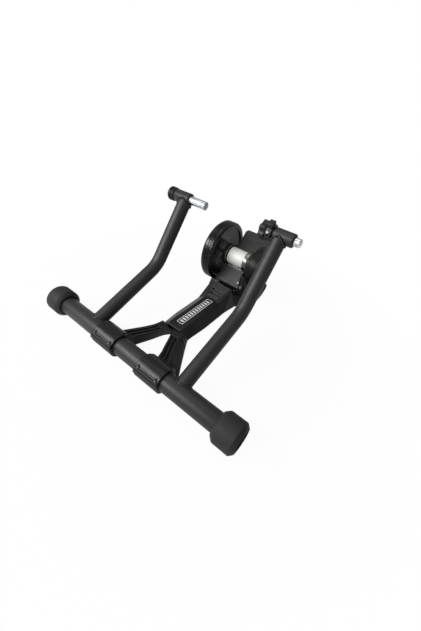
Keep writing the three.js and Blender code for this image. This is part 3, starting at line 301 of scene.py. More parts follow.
# Dark tone, light tone, roughness, specular level, scale of the grain and its height in metres
powder_coat = coated("powder_coat", grey(0.017), grey(0.022), 0.46, 0.42, 1100.0, 0.00007)
cast_enamel = coated("cast_enamel", grey(0.008), grey(0.012), 0.32, 0.30, 420.0, 0.00010)
clamp_enamel = coated(
    "clamp_enamel", (0.026, 0.024, 0.024), (0.036, 0.033, 0.033), 0.44, 0.24, 380.0, 0.00012,
)
bracket_paint = coated(
    "bracket_paint", (0.014, 0.014, 0.013), (0.021, 0.021, 0.020), 0.42, 0.26, 700.0, 0.00006,
)
# The lip's pale tones are a painted highlight along the window's lower edge
lip_painted_highlight = coated(
    "lip_painted_highlight", (0.085, 0.085, 0.082), (0.13, 0.13, 0.125), 0.40, 0.4, 500.0, 0.00012,
)
moulded_rubber = coated("moulded_rubber", grey(0.024), grey(0.032), 0.60, 0.20, 1500.0, 0.0001)
moulded_plastic = coated("moulded_plastic", grey(0.014), grey(0.020), 0.38, 0.3, 1600.0, 0.00005)
badge_film = coated("badge_film", grey(0.010), grey(0.012), 0.22, 0.5, 500.0, 0.00001)
badge_print = coated("badge_print", grey(0.74), grey(0.82), 0.4, 0.4, 500.0, 0.00001)

# Dark tone, light tone, roughness, specular level, scale of the dimples and their height in metres
wheel_enamel = gloss_enamel("wheel_enamel", grey(0.005), grey(0.008), 0.20, 0.40, 170.0, 0.0006)
drum_enamel = gloss_enamel("drum_enamel", grey(0.005), grey(0.008), 0.36, 0.16, 500.0, 0.00008)

# Dark tone, light tone and roughness, then the scale of the tool lines or grain and its height in metres
plated_steel = bare_metal("plated_steel", (0.76, 0.78, 0.80), (0.88, 0.89, 0.90), 0.24)
turned_steel = bare_metal("turned_steel", (0.34, 0.35, 0.36), (0.46, 0.47, 0.48), 0.34)
black_oxide = bare_metal("black_oxide", grey(0.10), grey(0.17), 0.38, 260.0, 0.00004, turned=False)
roller_alloy = bare_metal(
    "roller_alloy", (0.82, 0.83, 0.79), (0.90, 0.91, 0.87), 0.62, 3000.0, metallic=0.25,
)
# Satin alloy of the right boss's collar; the same pale tone on the left boss's rim is a painted
# highlight
alloy_and_rim_highlight = bare_metal("alloy_and_rim_highlight", (0.16, 0.16, 0.155), (0.24, 0.24, 0.235), 0.26, 2600.0)
zinc_steel = bare_metal(
    "zinc_steel", (0.20, 0.20, 0.20), (0.30, 0.30, 0.29), 0.40, 260.0, 0.00005, turned=False,
)
copper_wire = bare_metal("copper_wire", (0.55, 0.23, 0.11), (0.75, 0.36, 0.18), 0.35, 1800.0)
board_resist = coated(
    "board_resist", (0.012, 0.075, 0.030), (0.018, 0.105, 0.042), 0.3, 0.5, 300.0, 0.00004,
)


# Making and finishing pieces

HEAD_CHAMFER = 0.14
SOCKET_MOUTH = 0.58
SOCKET_RADIUS = 0.52
SOCKET_DEPTH = 0.6
THREAD_STEPS = 24  # to a turn of the screw


def ease_edges(bm, width, segments=2):
    """Rounds the edges where two faces meet at more than EASED_ANGLE."""
    edges = [e for e in bm.edges if len(e.link_faces) == 2 and e.calc_face_angle(0) > EASED_ANGLE]
    if edges:
        bmesh.ops.bevel(
            bm, geom=edges, offset=width * MM, offset_type="OFFSET", segments=segments, profile=0.5,
            affect="EDGES", clamp_overlap=True, material=-1,
        )


def finish_piece(name, bm, body, finish, nodes=(), degrees=30):
    """Makes a mesh into a piece that rides on a body and stands for the named nodes."""
    bmesh.ops.recalc_face_normals(bm, faces=bm.faces[:])
    mesh = bpy.data.meshes.new(name)
    bm.to_mesh(mesh)
    bm.free()
    mesh.shade_smooth()
    mesh.set_sharp_from_angle(angle=math.radians(degrees))
    piece = bpy.data.objects.new(name, mesh)
    bpy.context.scene.collection.objects.link(piece)
    mesh.materials.append(finish)
    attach(piece, body)
    if nodes:
        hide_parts(*nodes)
    return piece


def spin_profile(bm, profile, steps, ring=False):
    """Spins [x, radius] pairs round the X axis; a ring joins the last pair to the first."""
    made = [bm.verts.new((x * MM, 0, radius * MM)) for x, radius in profile]
    edges = [bm.edges.new(pair) for pair in zip(made, made[1:])]
    if ring:
        edges.append(bm.edges.new((made[-1], made[0])))
    bmesh.ops.spin(
        bm, geom=made + edges, cent=(0, 0, 0), axis=(1, 0, 0), angle=2 * math.pi, steps=steps,
        use_merge=True, use_duplicate=False, dvec=(0, 0, 0),
    )
    bmesh.ops.remove_doubles(bm, verts=bm.verts[:], dist=1e-6)
    bmesh.ops.recalc_face_normals(bm, faces=bm.faces[:])


def turned_piece(
    name, profile, centre, body, finish, nodes=(), ring=False, ease=0.6, steps=96, place=None,
):
    """Turns a profile round X and sets it at a centre, or at a place where its axis isn't X."""
    bm = bmesh.new()
    spin_profile(bm, profile, steps, ring)
    ease_edges(bm, ease)
    bmesh.ops.transform(bm, matrix=place or Matrix.Translation(centre), verts=bm.verts[:])
    return finish_piece(name, bm, body, finish, nodes)


def merged_copy(node):
    """A copy of a node's mesh with its flat faces joined again."""
    bm = bmesh.new()
    bm.from_mesh(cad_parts[node].data)
    bmesh.ops.remove_doubles(bm, verts=bm.verts[:], dist=2e-6)
    bmesh.ops.dissolve_limit(
        bm, angle_limit=math.radians(0.6), verts=bm.verts[:], edges=bm.edges[:],
        use_dissolve_boundaries=False,
    )
    return bm


def eased_copy(node, body, finish, width, segments, degrees):
    """A node's own shape with its edges rounded."""
    piece = finish_piece(f"{node}_skin", merged_copy(node), body, finish, (node,), degrees)
    bevel = piece.modifiers.new("eased_edges", "BEVEL")
    bevel.width = width * MM
    bevel.segments = segments
    bevel.limit_method = "ANGLE"
    bevel.angle_limit = math.radians(degrees + 6)
    bevel.use_clamp_overlap = True


def to_side(profile, side):
    """A profile as drawn for the right side, mirrored where the side is -1."""
    return [(side * x, radius) for x, radius in profile]


def screw_place(start, along):
    """Places a piece that is drawn along X at a point, pointing in a direction."""
    turn = Vector((1, 0, 0)).rotation_difference(along.normalized())
    return Matrix.Translation(start) @ turn.to_matrix().to_4x4()


def socket_screw(
    name, node, body, start, along, radius, length, head_radius, head_length, finish,
):
    """A cap screw with a chamfered head and a six-sided socket, in shares of the head's size."""
    bm = bmesh.new()
    chamfer = head_radius * HEAD_CHAMFER
    spin_profile(bm, [
        (-length, 0), (-length, radius), (0, radius), (0, head_radius),
        (head_length - chamfer, head_radius), (head_length, head_radius - chamfer),
        (head_length, head_radius * SOCKET_MOUTH),
    ], 36)
    rim = [e for e in bm.edges if len(e.link_faces) == 1]
    socket = bmesh.ops.create_circle(
        bm, segments=6, radius=head_radius * SOCKET_RADIUS * MM,
        matrix=Matrix.Translation((head_length * MM, 0, 0)) @ Matrix.Rotation(math.pi / 2, 4, "Y"),
    )["verts"]
    wall = list({e for v in socket for e in v.link_edges})
    bmesh.ops.bridge_loops(bm, edges=rim + wall)
    sunk = bmesh.ops.extrude_edge_only(bm, edges=wall)["geom"]
    floor_verts = [v for v in sunk if isinstance(v, bmesh.types.BMVert)]
    bmesh.ops.translate(bm, verts=floor_verts, vec=(-head_length * SOCKET_DEPTH * MM, 0, 0))
    bmesh.ops.contextual_create(bm, geom=floor_verts)
    bmesh.ops.transform(bm, matrix=screw_place(start, along), verts=bm.verts[:])
    return finish_piece(name, bm, body, finish, (node,))


def add_bar(bm, x0, x1, y0, y1, z0, z1):
    """A straight bar between two corners."""
    made = bmesh.ops.create_cube(bm, size=1.0)["verts"]
    bmesh.ops.scale(bm, verts=made, vec=((x1 - x0) * MM, (y1 - y0) * MM, (z1 - z0) * MM))
    middle = Vector(((x0 + x1) / 2, (y0 + y1) / 2, (z0 + z1) / 2)) * MM
    bmesh.ops.translate(bm, verts=made, vec=middle)


def threaded_rod(name, core, start, end, pitch, depth, body, node, place):
    """A rod along X with a round core and one ridge that winds round it."""
    bm = bmesh.new()
    root = core - depth
    spin_profile(bm, [(start, 0), (start, root), (end - 1, root), (end, root - 1), (end, 0)], 48)
    turns = (end - start - 2 * pitch) / pitch
    section = ((-pitch / 2, root - 0.1), (0, core - 0.05), (pitch / 2, root - 0.1))
    ridge = [bm.verts.new(((start + pitch / 2 + x) * MM, 0, r * MM)) for x, r in section]
    edges = [bm.edges.new((ridge[a], ridge[b])) for a, b in ((0, 1), (1, 2), (2, 0))]
    first = bm.faces.new(ridge)
    steps = int(turns * THREAD_STEPS)
    bmesh.ops.spin(
        bm, geom=[first, *ridge, *edges], cent=(0, 0, 0), axis=(1, 0, 0),
        angle=2 * math.pi * steps / THREAD_STEPS, steps=steps, use_merge=False, use_duplicate=False,
        dvec=(pitch * MM / THREAD_STEPS, 0, 0),
    )
    bmesh.ops.transform(bm, matrix=place, verts=bm.verts[:])
    return finish_piece(name, bm, body, turned_steel, (node,), 60)


# Folding frame

turned_piece(
    "base_tube_skin", [(-322, 22.5), (-322, 25), (322, 25), (322, 22.5)], TUBE_AXIS,
    "folding_frame", powder_coat, ("base_tube",), ring=True,
)

CAP_PROFILE = [
    (322.3, 0), (322.3, 25.3), (274, 25.3), (274, 30.2), (276, 32), (283, 38.0), (286, 38.75),
    (324.4, 38.75), (325.6, 38.1), (332.3, 31.3), (333, 30.4), (333, 26.3), (332.2, 25.4),
    (328.5, 21.6), (328, 20.8), (328, 0),
]
for word, side in SIDES:
    turned_piece(f"end_cap_{word}_skin", to_side(CAP_PROFILE, side), TUBE_AXIS, "folding_frame",
                 moulded_rubber, (f"end_cap_{word}",), ease=0.4)


def bent_arm(side):
    """A tube pushed straight out, round the bend and on to the barrel."""
    bm = bmesh.new()
    x = side * ARM_X * MM
    ring = bmesh.ops.create_circle(
        bm, segments=64, radius=ARM_RADIUS * MM,
        matrix=Matrix.Translation((x, ARM_START * MM, 0)) @ Matrix.Rotation(math.pi / 2, 4, "X"),
    )["verts"]
    loop = list({e for v in ring for e in v.link_edges})
    bend = BEND_RADIUS * math.tan(ARM_BEND / 2)
    pushed = bmesh.ops.extrude_edge_only(bm, edges=loop)["geom"]
    front = [g for g in pushed if isinstance(g, bmesh.types.BMVert)]
    bmesh.ops.translate(bm, verts=front, vec=(0, (ARM_LOWER - bend - ARM_START) * MM, 0))
    loop = [g for g in pushed if isinstance(g, bmesh.types.BMEdge)]
    turned = bmesh.ops.spin(
        bm, geom=front + loop, cent=(x, (ARM_LOWER - bend) * MM, BEND_RADIUS * MM), axis=(1, 0, 0),
        angle=ARM_BEND, steps=20, use_merge=False, use_duplicate=False, dvec=(0, 0, 0),
    )["geom_last"]
    loop = [g for g in turned if isinstance(g, bmesh.types.BMEdge)]
    pushed = bmesh.ops.extrude_edge_only(bm, edges=loop)["geom"]
    front = [g for g in pushed if isinstance(g, bmesh.types.BMVert)]
    reach = ARM_UPPER - bend - ARM_SHORT
    bmesh.ops.translate(
        bm, verts=front, vec=(0, reach * math.cos(ARM_BEND) * MM, reach * math.sin(ARM_BEND) * MM),
    )
    bmesh.ops.holes_fill(bm, edges=[e for e in bm.edges if len(e.link_faces) == 1], sides=0)
    place = Matrix.Translation(TUBE_AXIS) @ Matrix.Rotation(ARM_RISE, 4, "X")
    bmesh.ops.transform(bm, matrix=place, verts=bm.verts[:])
    return bm


def weld_bead(name, side, seat_radius, place):
    """A rippled fillet round an arm where it runs into a crossing tube; the arm leaves along Y."""
    bm = bmesh.new()
    bead = bmesh.ops.create_circle(
        bm, segments=10, radius=BEAD_RADIUS * MM,
        matrix=Matrix.Translation((BEAD_RING * MM, 0, 0)),
    )["verts"]
    loop = list({e for v in bead for e in v.link_edges})
    bmesh.ops.spin(
        bm, geom=bead + loop, cent=(0, 0, 0), axis=(0, 1, 0), angle=2 * math.pi, steps=150,
        use_merge=True, use_duplicate=False, dvec=(0, 0, 0),
    )
    for vert in bm.verts:
        angle = math.atan2(vert.co.z, vert.co.x)
        across = BEAD_RING * MM * math.sin(angle)
        seat = math.sqrt((seat_radius * MM) ** 2 - across ** 2)
        drift = 2 * noise.noise(Vector((side * 3, angle * 2, 0)))
        ripple = RIPPLE_HEIGHT * math.sin(RIPPLES * angle + drift)
        centre = Vector((BEAD_RING * MM * math.cos(angle), 0, BEAD_RING * MM * math.sin(angle)))
        out = vert.co - centre
        vert.co = centre + out * (1 + ripple / BEAD_RADIUS) + Vector((0, seat, 0))
    bmesh.ops.transform(bm, matrix=place, verts=bm.verts[:])
    return finish_piece(name, bm, "folding_frame", powder_coat, degrees=60)


for word, side in SIDES:
    finish_piece(f"arm_{word}_skin", bent_arm(side), "folding_frame", powder_coat,
                 (f"arm_{word}",), degrees=50)
    across = Matrix.Translation((side * ARM_X * MM, 0, 0))
    foot = Matrix.Translation(TUBE_AXIS) @ Matrix.Rotation(ARM_RISE, 4, "X")
    head = Matrix.Translation(HEAD_AXIS) @ Matrix.Rotation(ARM_RISE + ARM_BEND + math.pi, 4, "X")
    weld_bead(f"weld_foot_{word}", side, FOOT_SEAT, across @ foot)
    weld_bead(f"weld_head_{word}", side, HEAD_SEAT, across @ head)
    barrel = [(138, 12.3), (138, 15.5), (140, 17.5), (192, 17.5), (194, 15.5), (194, 12.3)]
    turned_piece(f"barrel_{word}_skin", to_side(barrel, side), HEAD_AXIS, "folding_frame",
                 powder_coat, (f"barrel_{word}",), ring=True, ease=0.8)

turned_piece("thrust_bush_skin", [(-194, 6.3), (-194, 12), (-189, 12), (-189, 6.3)], HEAD_AXIS,
             "folding_frame", moulded_plastic, ("thrust_bush",), ring=True, ease=0.4)
turned_piece("spindle_sleeve", [
    (189, 12.1), (189, 12.35), (194.6, 13.4), (195.6, 13.0), (195.6, 12.1),
], HEAD_AXIS, "folding_frame", moulded_plastic, ring=True, ease=0.2)

# Left axle clamp

turned_piece("axle_cup_left_skin", [
    (-176, 6.3), (-176, 12), (-95.5, 12), (-95, 11.6), (-93.8, 11.6), (-93.3, 12), (-83, 12), (-82, 11),
    (-82, 9.6), (-83.5, 9), (-100, 9), (-100, 6.3),
], HEAD_AXIS, "left_cup", plated_steel, ("axle_cup_left",), ring=True, ease=0.25)
turned_piece("clamp_knob_skin", [
    (-194.3, 0), (-194.3, 15.5), (-197.3, 18.7), (-199, 19.5), (-201.6, 19.5), (-202.3, 18.6),
    (-202.3, 16.5), (-206.3, 16.5), (-206.3, 18.6), (-207.2, 19.5), (-213.4, 19.5), (-215.6, 18),
    (-216.3, 15.8), (-216.3, 13.4), (-215.1, 12.4), (-215.1, 4.4), (-216, 3.6), (-216, 0),
], HEAD_AXIS, "left_knob", moulded_plastic, ("clamp_knob",), ease=0.35)
turned_piece("clamp_screw_skin", [(-194, 0), (-194, 6), (-111, 6), (-110, 5), (-110, 0)], HEAD_AXIS,
             "left_knob", turned_steel, ("clamp_screw",), ease=0.3, steps=48)

# Right axle clamp

eased_copy("adjuster_wheel", "right_wheel", moulded_plastic,
           width=1.4, segments=3, degrees=30)
turned_piece("axle_cup_right_skin", [
    (110.7, 0), (110.7, 12.7), (102, 12.7), (102, 9.8), (102.8, 9), (106.7, 9), (106.7, 0),
], HEAD_AXIS, "right_cup", turned_steel, ("axle_cup_right",), ease=0.3)
turned_piece("right_spindle_skin", [
    (119.3, 0), (119.3, 11), (152, 11), (152, 12), (190, 12), (190, 11), (201, 11), (201.4, 10.6),
    (202.4, 10.6), (202.8, 11), (207.6, 11), (209.8, 10.1), (211.3, 8.4), (212, 6.4), (212, 2.6),
    (210.6, 2.2), (210.6, 0),
], HEAD_AXIS, "right_wheel", plated_steel, ("right_spindle",), ease=0.3)
eased_copy("lock_collar", "lock_ring", powder_coat,
           width=0.8, segments=2, degrees=26)

COLLAR_TURN = math.radians(72)
COLLAR_X = 128.5
COLLAR_RADIUS = 22.3  # at the screw's seat
collar_out = Vector((0, -math.sin(COLLAR_TURN), math.cos(COLLAR_TURN)))
collar_seat = HEAD_AXIS + Vector((COLLAR_X * MM, 0, 0)) + collar_out * COLLAR_RADIUS * MM
socket_screw("collar_screw_skin", "collar_screw", "lock_ring", collar_seat, collar_out, radius=2.2,
             length=10, head_radius=3.6, head_length=3, finish=turned_steel)

# Stand

beam = finish_piece(
    "y_beam_skin", merged_copy("y_beam"), "stand", cast_enamel, ("y_beam",), 180,
)
refine = beam.modifiers.new("casting", "REMESH")
refine.mode = "VOXEL"
refine.voxel_size = 1.5 * MM
refine.use_smooth_shade = True
soften = beam.modifiers.new("cast_radii", "SMOOTH")
soften.factor = 0.5
soften.iterations = 5

EAR_Y, EAR_TOP = -31.6, 8.3  # where a clamp bolt sits, square to the clamp
BOLTS = (("inner", 53), ("outer", 111))  # and how far from the middle plane
for word, side in SIDES:
    eased_copy(f"clamp_shell_{word}", "stand", clamp_enamel,
               width=0.9, segments=3, degrees=26)
    bush = [(44, 25.3), (44, 27.5), (120, 27.5), (120, 25.3)]
    turned_piece(f"clamp_bush_{word}_skin", to_side(bush, side), TUBE_AXIS, "stand",
                 moulded_plastic, (f"clamp_bush_{word}",), ring=True, ease=0.4)
    turned = Matrix.Rotation(CLAMP_TURN, 4, "X")
    for place, x in BOLTS:
        node = f"clamp_bolt_{word}_{place}"
        start = TUBE_AXIS + turned @ Vector((side * x, EAR_Y, EAR_TOP)) * MM
        socket_screw(f"{node}_skin", node, "stand", start, turned @ Vector((0, 0, 1)), radius=2,
                     length=15, head_radius=3.2, head_length=3, finish=zinc_steel)

eased_copy("badge_plate", "stand", badge_film,
           width=0.3, segments=2, degrees=30)
eased_copy("latch_plate", "stand", bracket_paint,
           width=0.6, segments=2, degrees=30)

# The badge's outline and a row of even bars, measured from the base tube's axis
PRINT_LOW, PRINT_HIGH = 31.8, 32.02
OUTLINE_X, OUTLINE_INNER_X = 10.8, 9.0
OUTLINE_NEAR, OUTLINE_FAR = 173, 317
OUTLINE_INNER_NEAR, OUTLINE_INNER_FAR = 174.8, 315.2
BAR_COUNT, BAR_START, BAR_STEP, BAR_LENGTH, BAR_X = 12, 181, 10.9, 6.4, 6.2

printed = bmesh.new()
for bar in (
    (-OUTLINE_X, -OUTLINE_INNER_X, OUTLINE_NEAR, OUTLINE_FAR),
    (OUTLINE_INNER_X, OUTLINE_X, OUTLINE_NEAR, OUTLINE_FAR),
    (-OUTLINE_INNER_X, OUTLINE_INNER_X, OUTLINE_NEAR, OUTLINE_INNER_NEAR),
    (-OUTLINE_INNER_X, OUTLINE_INNER_X, OUTLINE_INNER_FAR, OUTLINE_FAR),
):
    add_bar(printed, *bar, PRINT_LOW, PRINT_HIGH)
for step in range(BAR_COUNT):
    start = BAR_START + step * BAR_STEP
    add_bar(printed, -BAR_X, BAR_X, start, start + BAR_LENGTH, PRINT_LOW, PRINT_HIGH)
bmesh.ops.translate(printed, verts=printed.verts[:], vec=(0, -BACK * MM, 0))
finish_piece("badge_print_bars", printed, "stand", badge_print)

PAD_X, PAD_Y, PAD_SEAT = 66, 512, 2.7
for word, side in SIDES:
    tread = merged_copy(f"foot_pad_{word}")
    ease_edges(tread, 0.8, 3)
    finish_piece(f"foot_pad_{word}_skin", tread, "stand", moulded_rubber,
                 (f"foot_pad_{word}",))
    socket_screw(f"pad_screw_{word}_skin", f"pad_screw_{word}", "stand",
                 Vector((side * PAD_X, PAD_Y - BACK, PAD_SEAT)) * MM, Vector((0, 0, -1)), radius=3,
                 length=8, head_radius=5.5, head_length=2.5, finish=turned_steel)

turned_piece("hinge_pin_skin", [(-48.4, 0), (-48.4, 4.2), (-47.6, 5), (47.6, 5), (48.4, 4.2), (48.4, 0)],
             HINGE_AXIS, "stand", turned_steel, ("hinge_pin",), ease=0.2, steps=48)
for word, side in SIDES:
    clip = [(46.3, 5.3), (46.3, 8), (48.1, 8), (48.1, 5.3)]
    turned_piece(f"hinge_clip_{word}_skin", to_side(clip, side), HINGE_AXIS, "stand",
                 turned_steel, (f"hinge_clip_{word}",), ring=True, ease=0.3, steps=48)
    sleeve = [(26, 5.3), (26, 6.8), (36.3, 6.8), (36.3, 9), (41.7, 9), (41.7, 5.3)]
    turned_piece(f"hinge_bush_{word}_skin", to_side(sleeve, side), HINGE_AXIS, "stand",
                 moulded_plastic, (f"hinge_bush_{word}",), ring=True, ease=0.3, steps=48)

# Pressure adjuster, drawn along X and laid along its own axis

screw_along = Vector((0, math.cos(SCREW_DIP), -math.sin(SCREW_DIP)))
screw_axis = screw_place(SCREW_START, screw_along)
turned_piece("thrust_washer_skin", [(62.3, 5.3), (62.3, 16), (64.3, 16), (64.3, 5.3)], None, "stand",
             turned_steel, ("thrust_washer",), ring=True, ease=0.3, place=screw_axis)
eased_copy("pressure_shoe", "pressure_rod", moulded_plastic,
           width=0.6, segments=2, degrees=26)
eased_copy("pressure_knob", "pressure_grip", moulded_plastic,
           width=2.0, segments=3, degrees=30)

# The screw's box starts before the middle of its leaning end face
END_LEAN = 1.8
screw_from = (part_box("pressure_screw")[0][1] - SCREW_START.y) / math.cos(SCREW_DIP) / MM + END_LEAN
threaded_rod(
    "pressure_screw_skin", core=5, start=screw_from, end=98, pitch=1.5, depth=0.7,
    body="pressure_rod", node="pressure_screw", place=screw_axis,
)

# Resistance unit

eased_copy("unit_bracket", "resistance_unit", bracket_paint,
           width=0.7, segments=2, degrees=24)
BRACKET_BOLT = Vector((38, -74, -5.1))
socket_screw("bracket_bolt_skin", "bracket_bolt", "resistance_unit", UNIT_PLACE @ (BRACKET_BOLT * MM),
             UNIT_PLACE.to_3x3() @ Vector((0, 0, 1)), radius=2.5, length=5, head_radius=4,
             head_length=2.5, finish=black_oxide)
for word, side in SIDES:
    race = [
        (36.3, 6.3), (36.3, 9), (36.9, 9.3), (36.9, 13), (36.3, 13.3), (36.3, 15.7), (44.3, 15.7),
        (44.3, 13.3), (43.7, 13), (43.7, 9.3), (44.3, 9), (44.3, 6.3),
    ]
    turned_piece(f"bearing_{word}_skin", to_side(race, side), ROLLER_AXIS, "resistance_unit",
                 turned_steel, (f"bearing_{word}",), ring=True, ease=0.2, steps=64)

turned_piece("brake_housing_rim", [
    (63.5, 40), (63.5, 58.6), (64.4, 61.6), (66.2, 63.4), (69, 64), (89.6, 64), (90.5, 63.4),
    (90.5, 60.5), (86, 60.5), (67, 60.5), (67, 40),
], ROLLER_AXIS, "resistance_unit", drum_enamel, ring=True, ease=0.3, steps=120)
eased_copy("brake_housing", "resistance_unit", drum_enamel,
           width=0.5, segments=2, degrees=24)
eased_copy("housing_cover", "resistance_unit", drum_enamel,
           width=0.8, segments=3, degrees=24)
COVER_FACE = 99.1
for number in (1, 2, 3):
    low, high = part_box(f"cover_screw_{number}")
    middle = (Vector(low) + Vector(high)) / 2
    start = Vector((COVER_FACE * MM, middle.y, middle.z))
    socket_screw(f"cover_screw_{number}_skin", f"cover_screw_{number}", "resistance_unit", start,
                 Vector((1, 0, 0)), radius=2.2, length=14, head_radius=3.6, head_length=2,
                 finish=turned_steel)
INLET = Vector((0, -46, -26))
inlet_place = UNIT_PLACE @ Matrix.Translation(INLET * MM)
turned_piece("power_inlet_skin", [
    (61.5, 0), (61.5, 0.9), (56.2, 0.9), (55.9, 0.5), (55.9, 0),
], None, "resistance_unit", turned_steel, ease=0.1, steps=24, place=inlet_place)
eased_copy("power_inlet", "resistance_unit", moulded_plastic,
           width=0.4, segments=2, degrees=26)

turned_piece("boss_collar", [
    (31.7, 30.4), (31.7, 33.6), (32.5, 34.4), (44.5, 34.4), (45.5, 33.9), (45.5, 30.4),
], ROLLER_AXIS, "resistance_unit", alloy_and_rim_highlight, ring=True, ease=0.2, steps=120)
# A thin pale ring at the left boss's rim, a painted edge highlight on the boss
turned_piece("boss_rim_highlight_left", [
    (-34.5, 33.0), (-31.6, 33.0), (-31.3, 33.4), (-31.3, 34.2), (-32.3, 34.8), (-34.5, 34.4),
], ROLLER_AXIS, "resistance_unit", alloy_and_rim_highlight, ring=True, ease=0.2, steps=120)

# The window's lower lip, its pale tone a painted highlight along the window's edge: an arc round the
# roller and a straight sill

LIP_LEFT, LIP_RIGHT = -27, 29
LIP_RADIUS = 28.6
LIP_START = math.radians(188)
LIP_SWEEP = math.radians(48)
LIP_THICKNESS = 1.4
SILL_FRONT, SILL_BACK = -36.5, -28.7
SILL_LOW, SILL_HIGH = -5.6, -4.0

window_lip = bmesh.new()
lip_y, lip_z = LIP_RADIUS * MM * math.cos(LIP_START), LIP_RADIUS * MM * math.sin(LIP_START)
edge = [window_lip.verts.new((x * MM, lip_y, lip_z)) for x in (LIP_LEFT, LIP_RIGHT)]
wall = window_lip.edges.new(edge)
bmesh.ops.spin(
    window_lip, geom=[*edge, wall], cent=(0, 0, 0), axis=(1, 0, 0), angle=LIP_SWEEP, steps=16,
    use_merge=False, use_duplicate=False, dvec=(0, 0, 0),
)
bmesh.ops.solidify(window_lip, geom=window_lip.faces[:], thickness=-LIP_THICKNESS * MM)
add_bar(window_lip, LIP_LEFT, LIP_RIGHT, SILL_FRONT, SILL_BACK, SILL_LOW, SILL_HIGH)
ease_edges(window_lip, 0.6, 3)
bmesh.ops.transform(window_lip, matrix=UNIT_PLACE, verts=window_lip.verts[:])
finish_piece("window_lip", window_lip, "resistance_unit", lip_painted_highlight, degrees=50)

# Turning pieces on the shaft

turned_piece("roller_skin", [
    (-30, 6.3), (-30, 25.3), (-29.4, 26.8), (-28, 27.5), (28, 27.5), (29.4, 26.8), (30, 25.3),
    (30, 6.3),
], ROLLER_AXIS, "spinner", roller_alloy, ("roller",), ring=True, ease=0.3, steps=128)
turned_piece("flywheel_skin", [
    (-84, 6.3), (-84, 24.5), (-82.5, 26), (-67, 26), (-64, 29), (-64, 67), (-66.5, 70), (-89.5, 70),
    (-91, 71.5), (-91, 78), (-90.2, 83.5), (-88, 88.6), (-84.6, 93.6), (-81, 96.6), (-79, 98),
    (-70.2, 98), (-70, 97.8), (-70, 95.5), (-67, 95.5), (-67, 97.8), (-66.8, 98), (-62.2, 98),
    (-62, 97.8), (-62, 95.5), (-59, 95.5), (-59, 97.8), (-58.8, 98), (-57, 98), (-56.6, 97.1),
    (-56, 97.1), (-55.6, 98), (-54.4, 98), (-51.2, 96.4), (-50, 94), (-50, 85), (-50.8, 83.4),
    (-54.6, 82.6), (-56, 81), (-56, 6.3),
], ROLLER_AXIS, "spinner", wheel_enamel, ("flywheel",), ring=True, ease=0.5, steps=144)
turned_piece("roller_shaft_skin", [(-94, 0), (-94, 5), (-93, 6), (92, 6), (93, 5), (93, 0)], ROLLER_AXIS,
             "spinner", turned_steel, ("roller_shaft",), ease=0.2, steps=48)
eased_copy("flywheel_nut", "spinner", turned_steel,
           width=0.7, segments=2, degrees=40)

# Inner pieces keep their solids
for node, finish in (
    ("brake_rotor", turned_steel), ("coil_carrier", zinc_steel), ("coil_ring", copper_wire),
    ("circuit_board", board_resist),
):
    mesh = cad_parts[node].data
    mesh.materials.clear()
    mesh.materials.append(finish)


# Floor, light and camera, with places measured from a point under the base tube

GLOSSY_SHARE = 0.35
FLOOR_SIZE = 12
FADE_MIDDLE = Vector((0, 0.22, 0))
FADE_NEAR, FADE_FAR = 0.30, 0.75  # distances from that point
NEAR_WHITE = 0.955  # share of plain white near the trainer; the rest shows its shadow
SOFT_STRENGTH = 0.09
LAMP_AIM = Vector((0, 0.25, 0.1))
SHIFT = Vector((0, -BACK * MM, 0))


def seen_white(tree):
    """1 for what the camera or glass sees, and about a third for what metal and gloss reflect."""
    path = tree.nodes.new("ShaderNodeLightPath")
    mirrored = math_node(tree, "MULTIPLY", path.outputs["Is Glossy Ray"], GLOSSY_SHARE)
    seen = math_node(tree, "MAXIMUM", path.outputs["Is Camera Ray"], mirrored)
    return math_node(tree, "MAXIMUM", seen, path.outputs["Is Transmission Ray"])


floor_mesh = bpy.data.meshes.new("floor")
floor_bm = bmesh.new()
bmesh.ops.create_grid(floor_bm, x_segments=1, y_segments=1, size=FLOOR_SIZE)
floor_bm.to_mesh(floor_mesh)
floor_bm.free()
floor = bpy.data.objects.new("floor", floor_mesh)
bpy.context.scene.collection.objects.link(floor)
floor_paint, tree, shader, place = start_material("pale_floor")
shader.inputs["Base Color"].default_value = (0.86, 0.86, 0.86, 1)
shader.inputs["Roughness"].default_value = 0.9
shader.inputs["Specular IOR Level"].default_value = 0.0
glow = tree.nodes.new("ShaderNodeEmission")
glow.inputs["Color"].default_value = (1, 1, 1, 1)
blend = tree.nodes.new("ShaderNodeMixShader")
distance = tree.nodes.new("ShaderNodeVectorMath")
distance.operation = "DISTANCE"
distance.inputs[1].default_value = FADE_MIDDLE + SHIFT
tree.links.new(place, distance.inputs[0])
fade = range_node(tree, distance.outputs["Value"], FADE_NEAR, FADE_FAR, NEAR_WHITE, 1.0)
tree.links.new(math_node(tree, "MULTIPLY", seen_white(tree), fade), blend.inputs[0])
tree.links.new(shader.outputs[0], blend.inputs[1])
tree.links.new(glow.outputs[0], blend.inputs[2])
tree.links.new(blend.outputs[0], tree.nodes["Material Output"].inputs["Surface"])
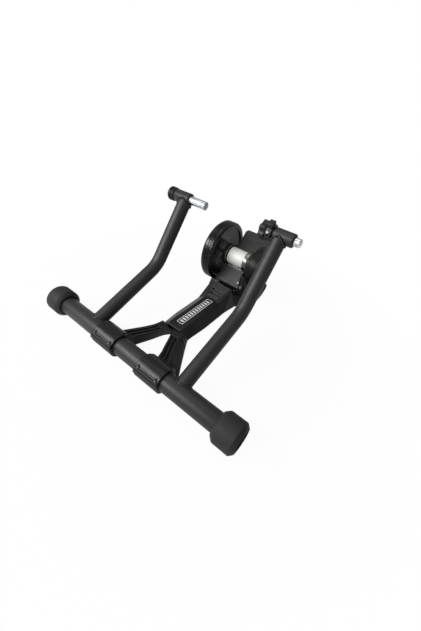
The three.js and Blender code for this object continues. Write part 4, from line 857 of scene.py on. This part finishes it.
floor_mesh.materials.append(floor_paint)

world = bpy.data.worlds.new("studio")
bpy.context.scene.world = world
world.use_nodes = True
tree = world.node_tree
soft = tree.nodes["Background"]
soft.inputs["Color"].default_value = (1, 1, 1, 1)
soft.inputs["Strength"].default_value = SOFT_STRENGTH
bright = tree.nodes.new("ShaderNodeBackground")
bright.inputs["Color"].default_value = (1, 1, 1, 1)
bright.inputs["Strength"].default_value = 1.0
both = tree.nodes.new("ShaderNodeMixShader")
tree.links.new(seen_white(tree), both.inputs[0])
tree.links.new(soft.outputs[0], both.inputs[1])
tree.links.new(bright.outputs[0], both.inputs[2])
tree.links.new(both.outputs[0], tree.nodes["World Output"].inputs["Surface"])


def soft_box(name, place, size, power):
    """A large lamp without hard edges, turned towards the trainer's middle."""
    lamp = bpy.data.lights.new(name, "AREA")
    lamp.shape = "RECTANGLE"
    lamp.size, lamp.size_y = size
    lamp.energy = power
    held = bpy.data.objects.new(name, lamp)
    bpy.context.scene.collection.objects.link(held)
    held.location = Vector(place) + SHIFT
    held.rotation_euler = (LAMP_AIM - Vector(place)).to_track_quat("-Z", "Y").to_euler()


soft_box("key_lamp", (-0.95, -1.35, 1.4), (2.0, 0.8), 56)
soft_box("overhead_lamp", (-0.3, 0.4, 2.0), (1.2, 1.2), 6)

# The camera that was solved from the photograph
CAMERA_PLACE = Vector((0.4007, -0.2674, 0.6002))
CAMERA_LENS = 16.06

camera = bpy.data.cameras.new("photo_camera")
camera.sensor_fit = "AUTO"
camera.sensor_width = 36
camera.lens = CAMERA_LENS
camera.clip_start = 0.01
held = bpy.data.objects.new("photo_camera", camera)
bpy.context.scene.collection.objects.link(held)
right = Vector((0.779, 0.6195, 0.0903)).normalized()
forward = Vector((-0.416, 0.6193, -0.6664)).normalized()
up = right.cross(forward).normalized()
view = Matrix((right, up, -forward)).transposed().to_4x4()
held.matrix_world = Matrix.Translation(CAMERA_PLACE + SHIFT) @ view
bpy.context.scene.camera = held
bpy.context.scene.view_settings.view_transform = "Standard"
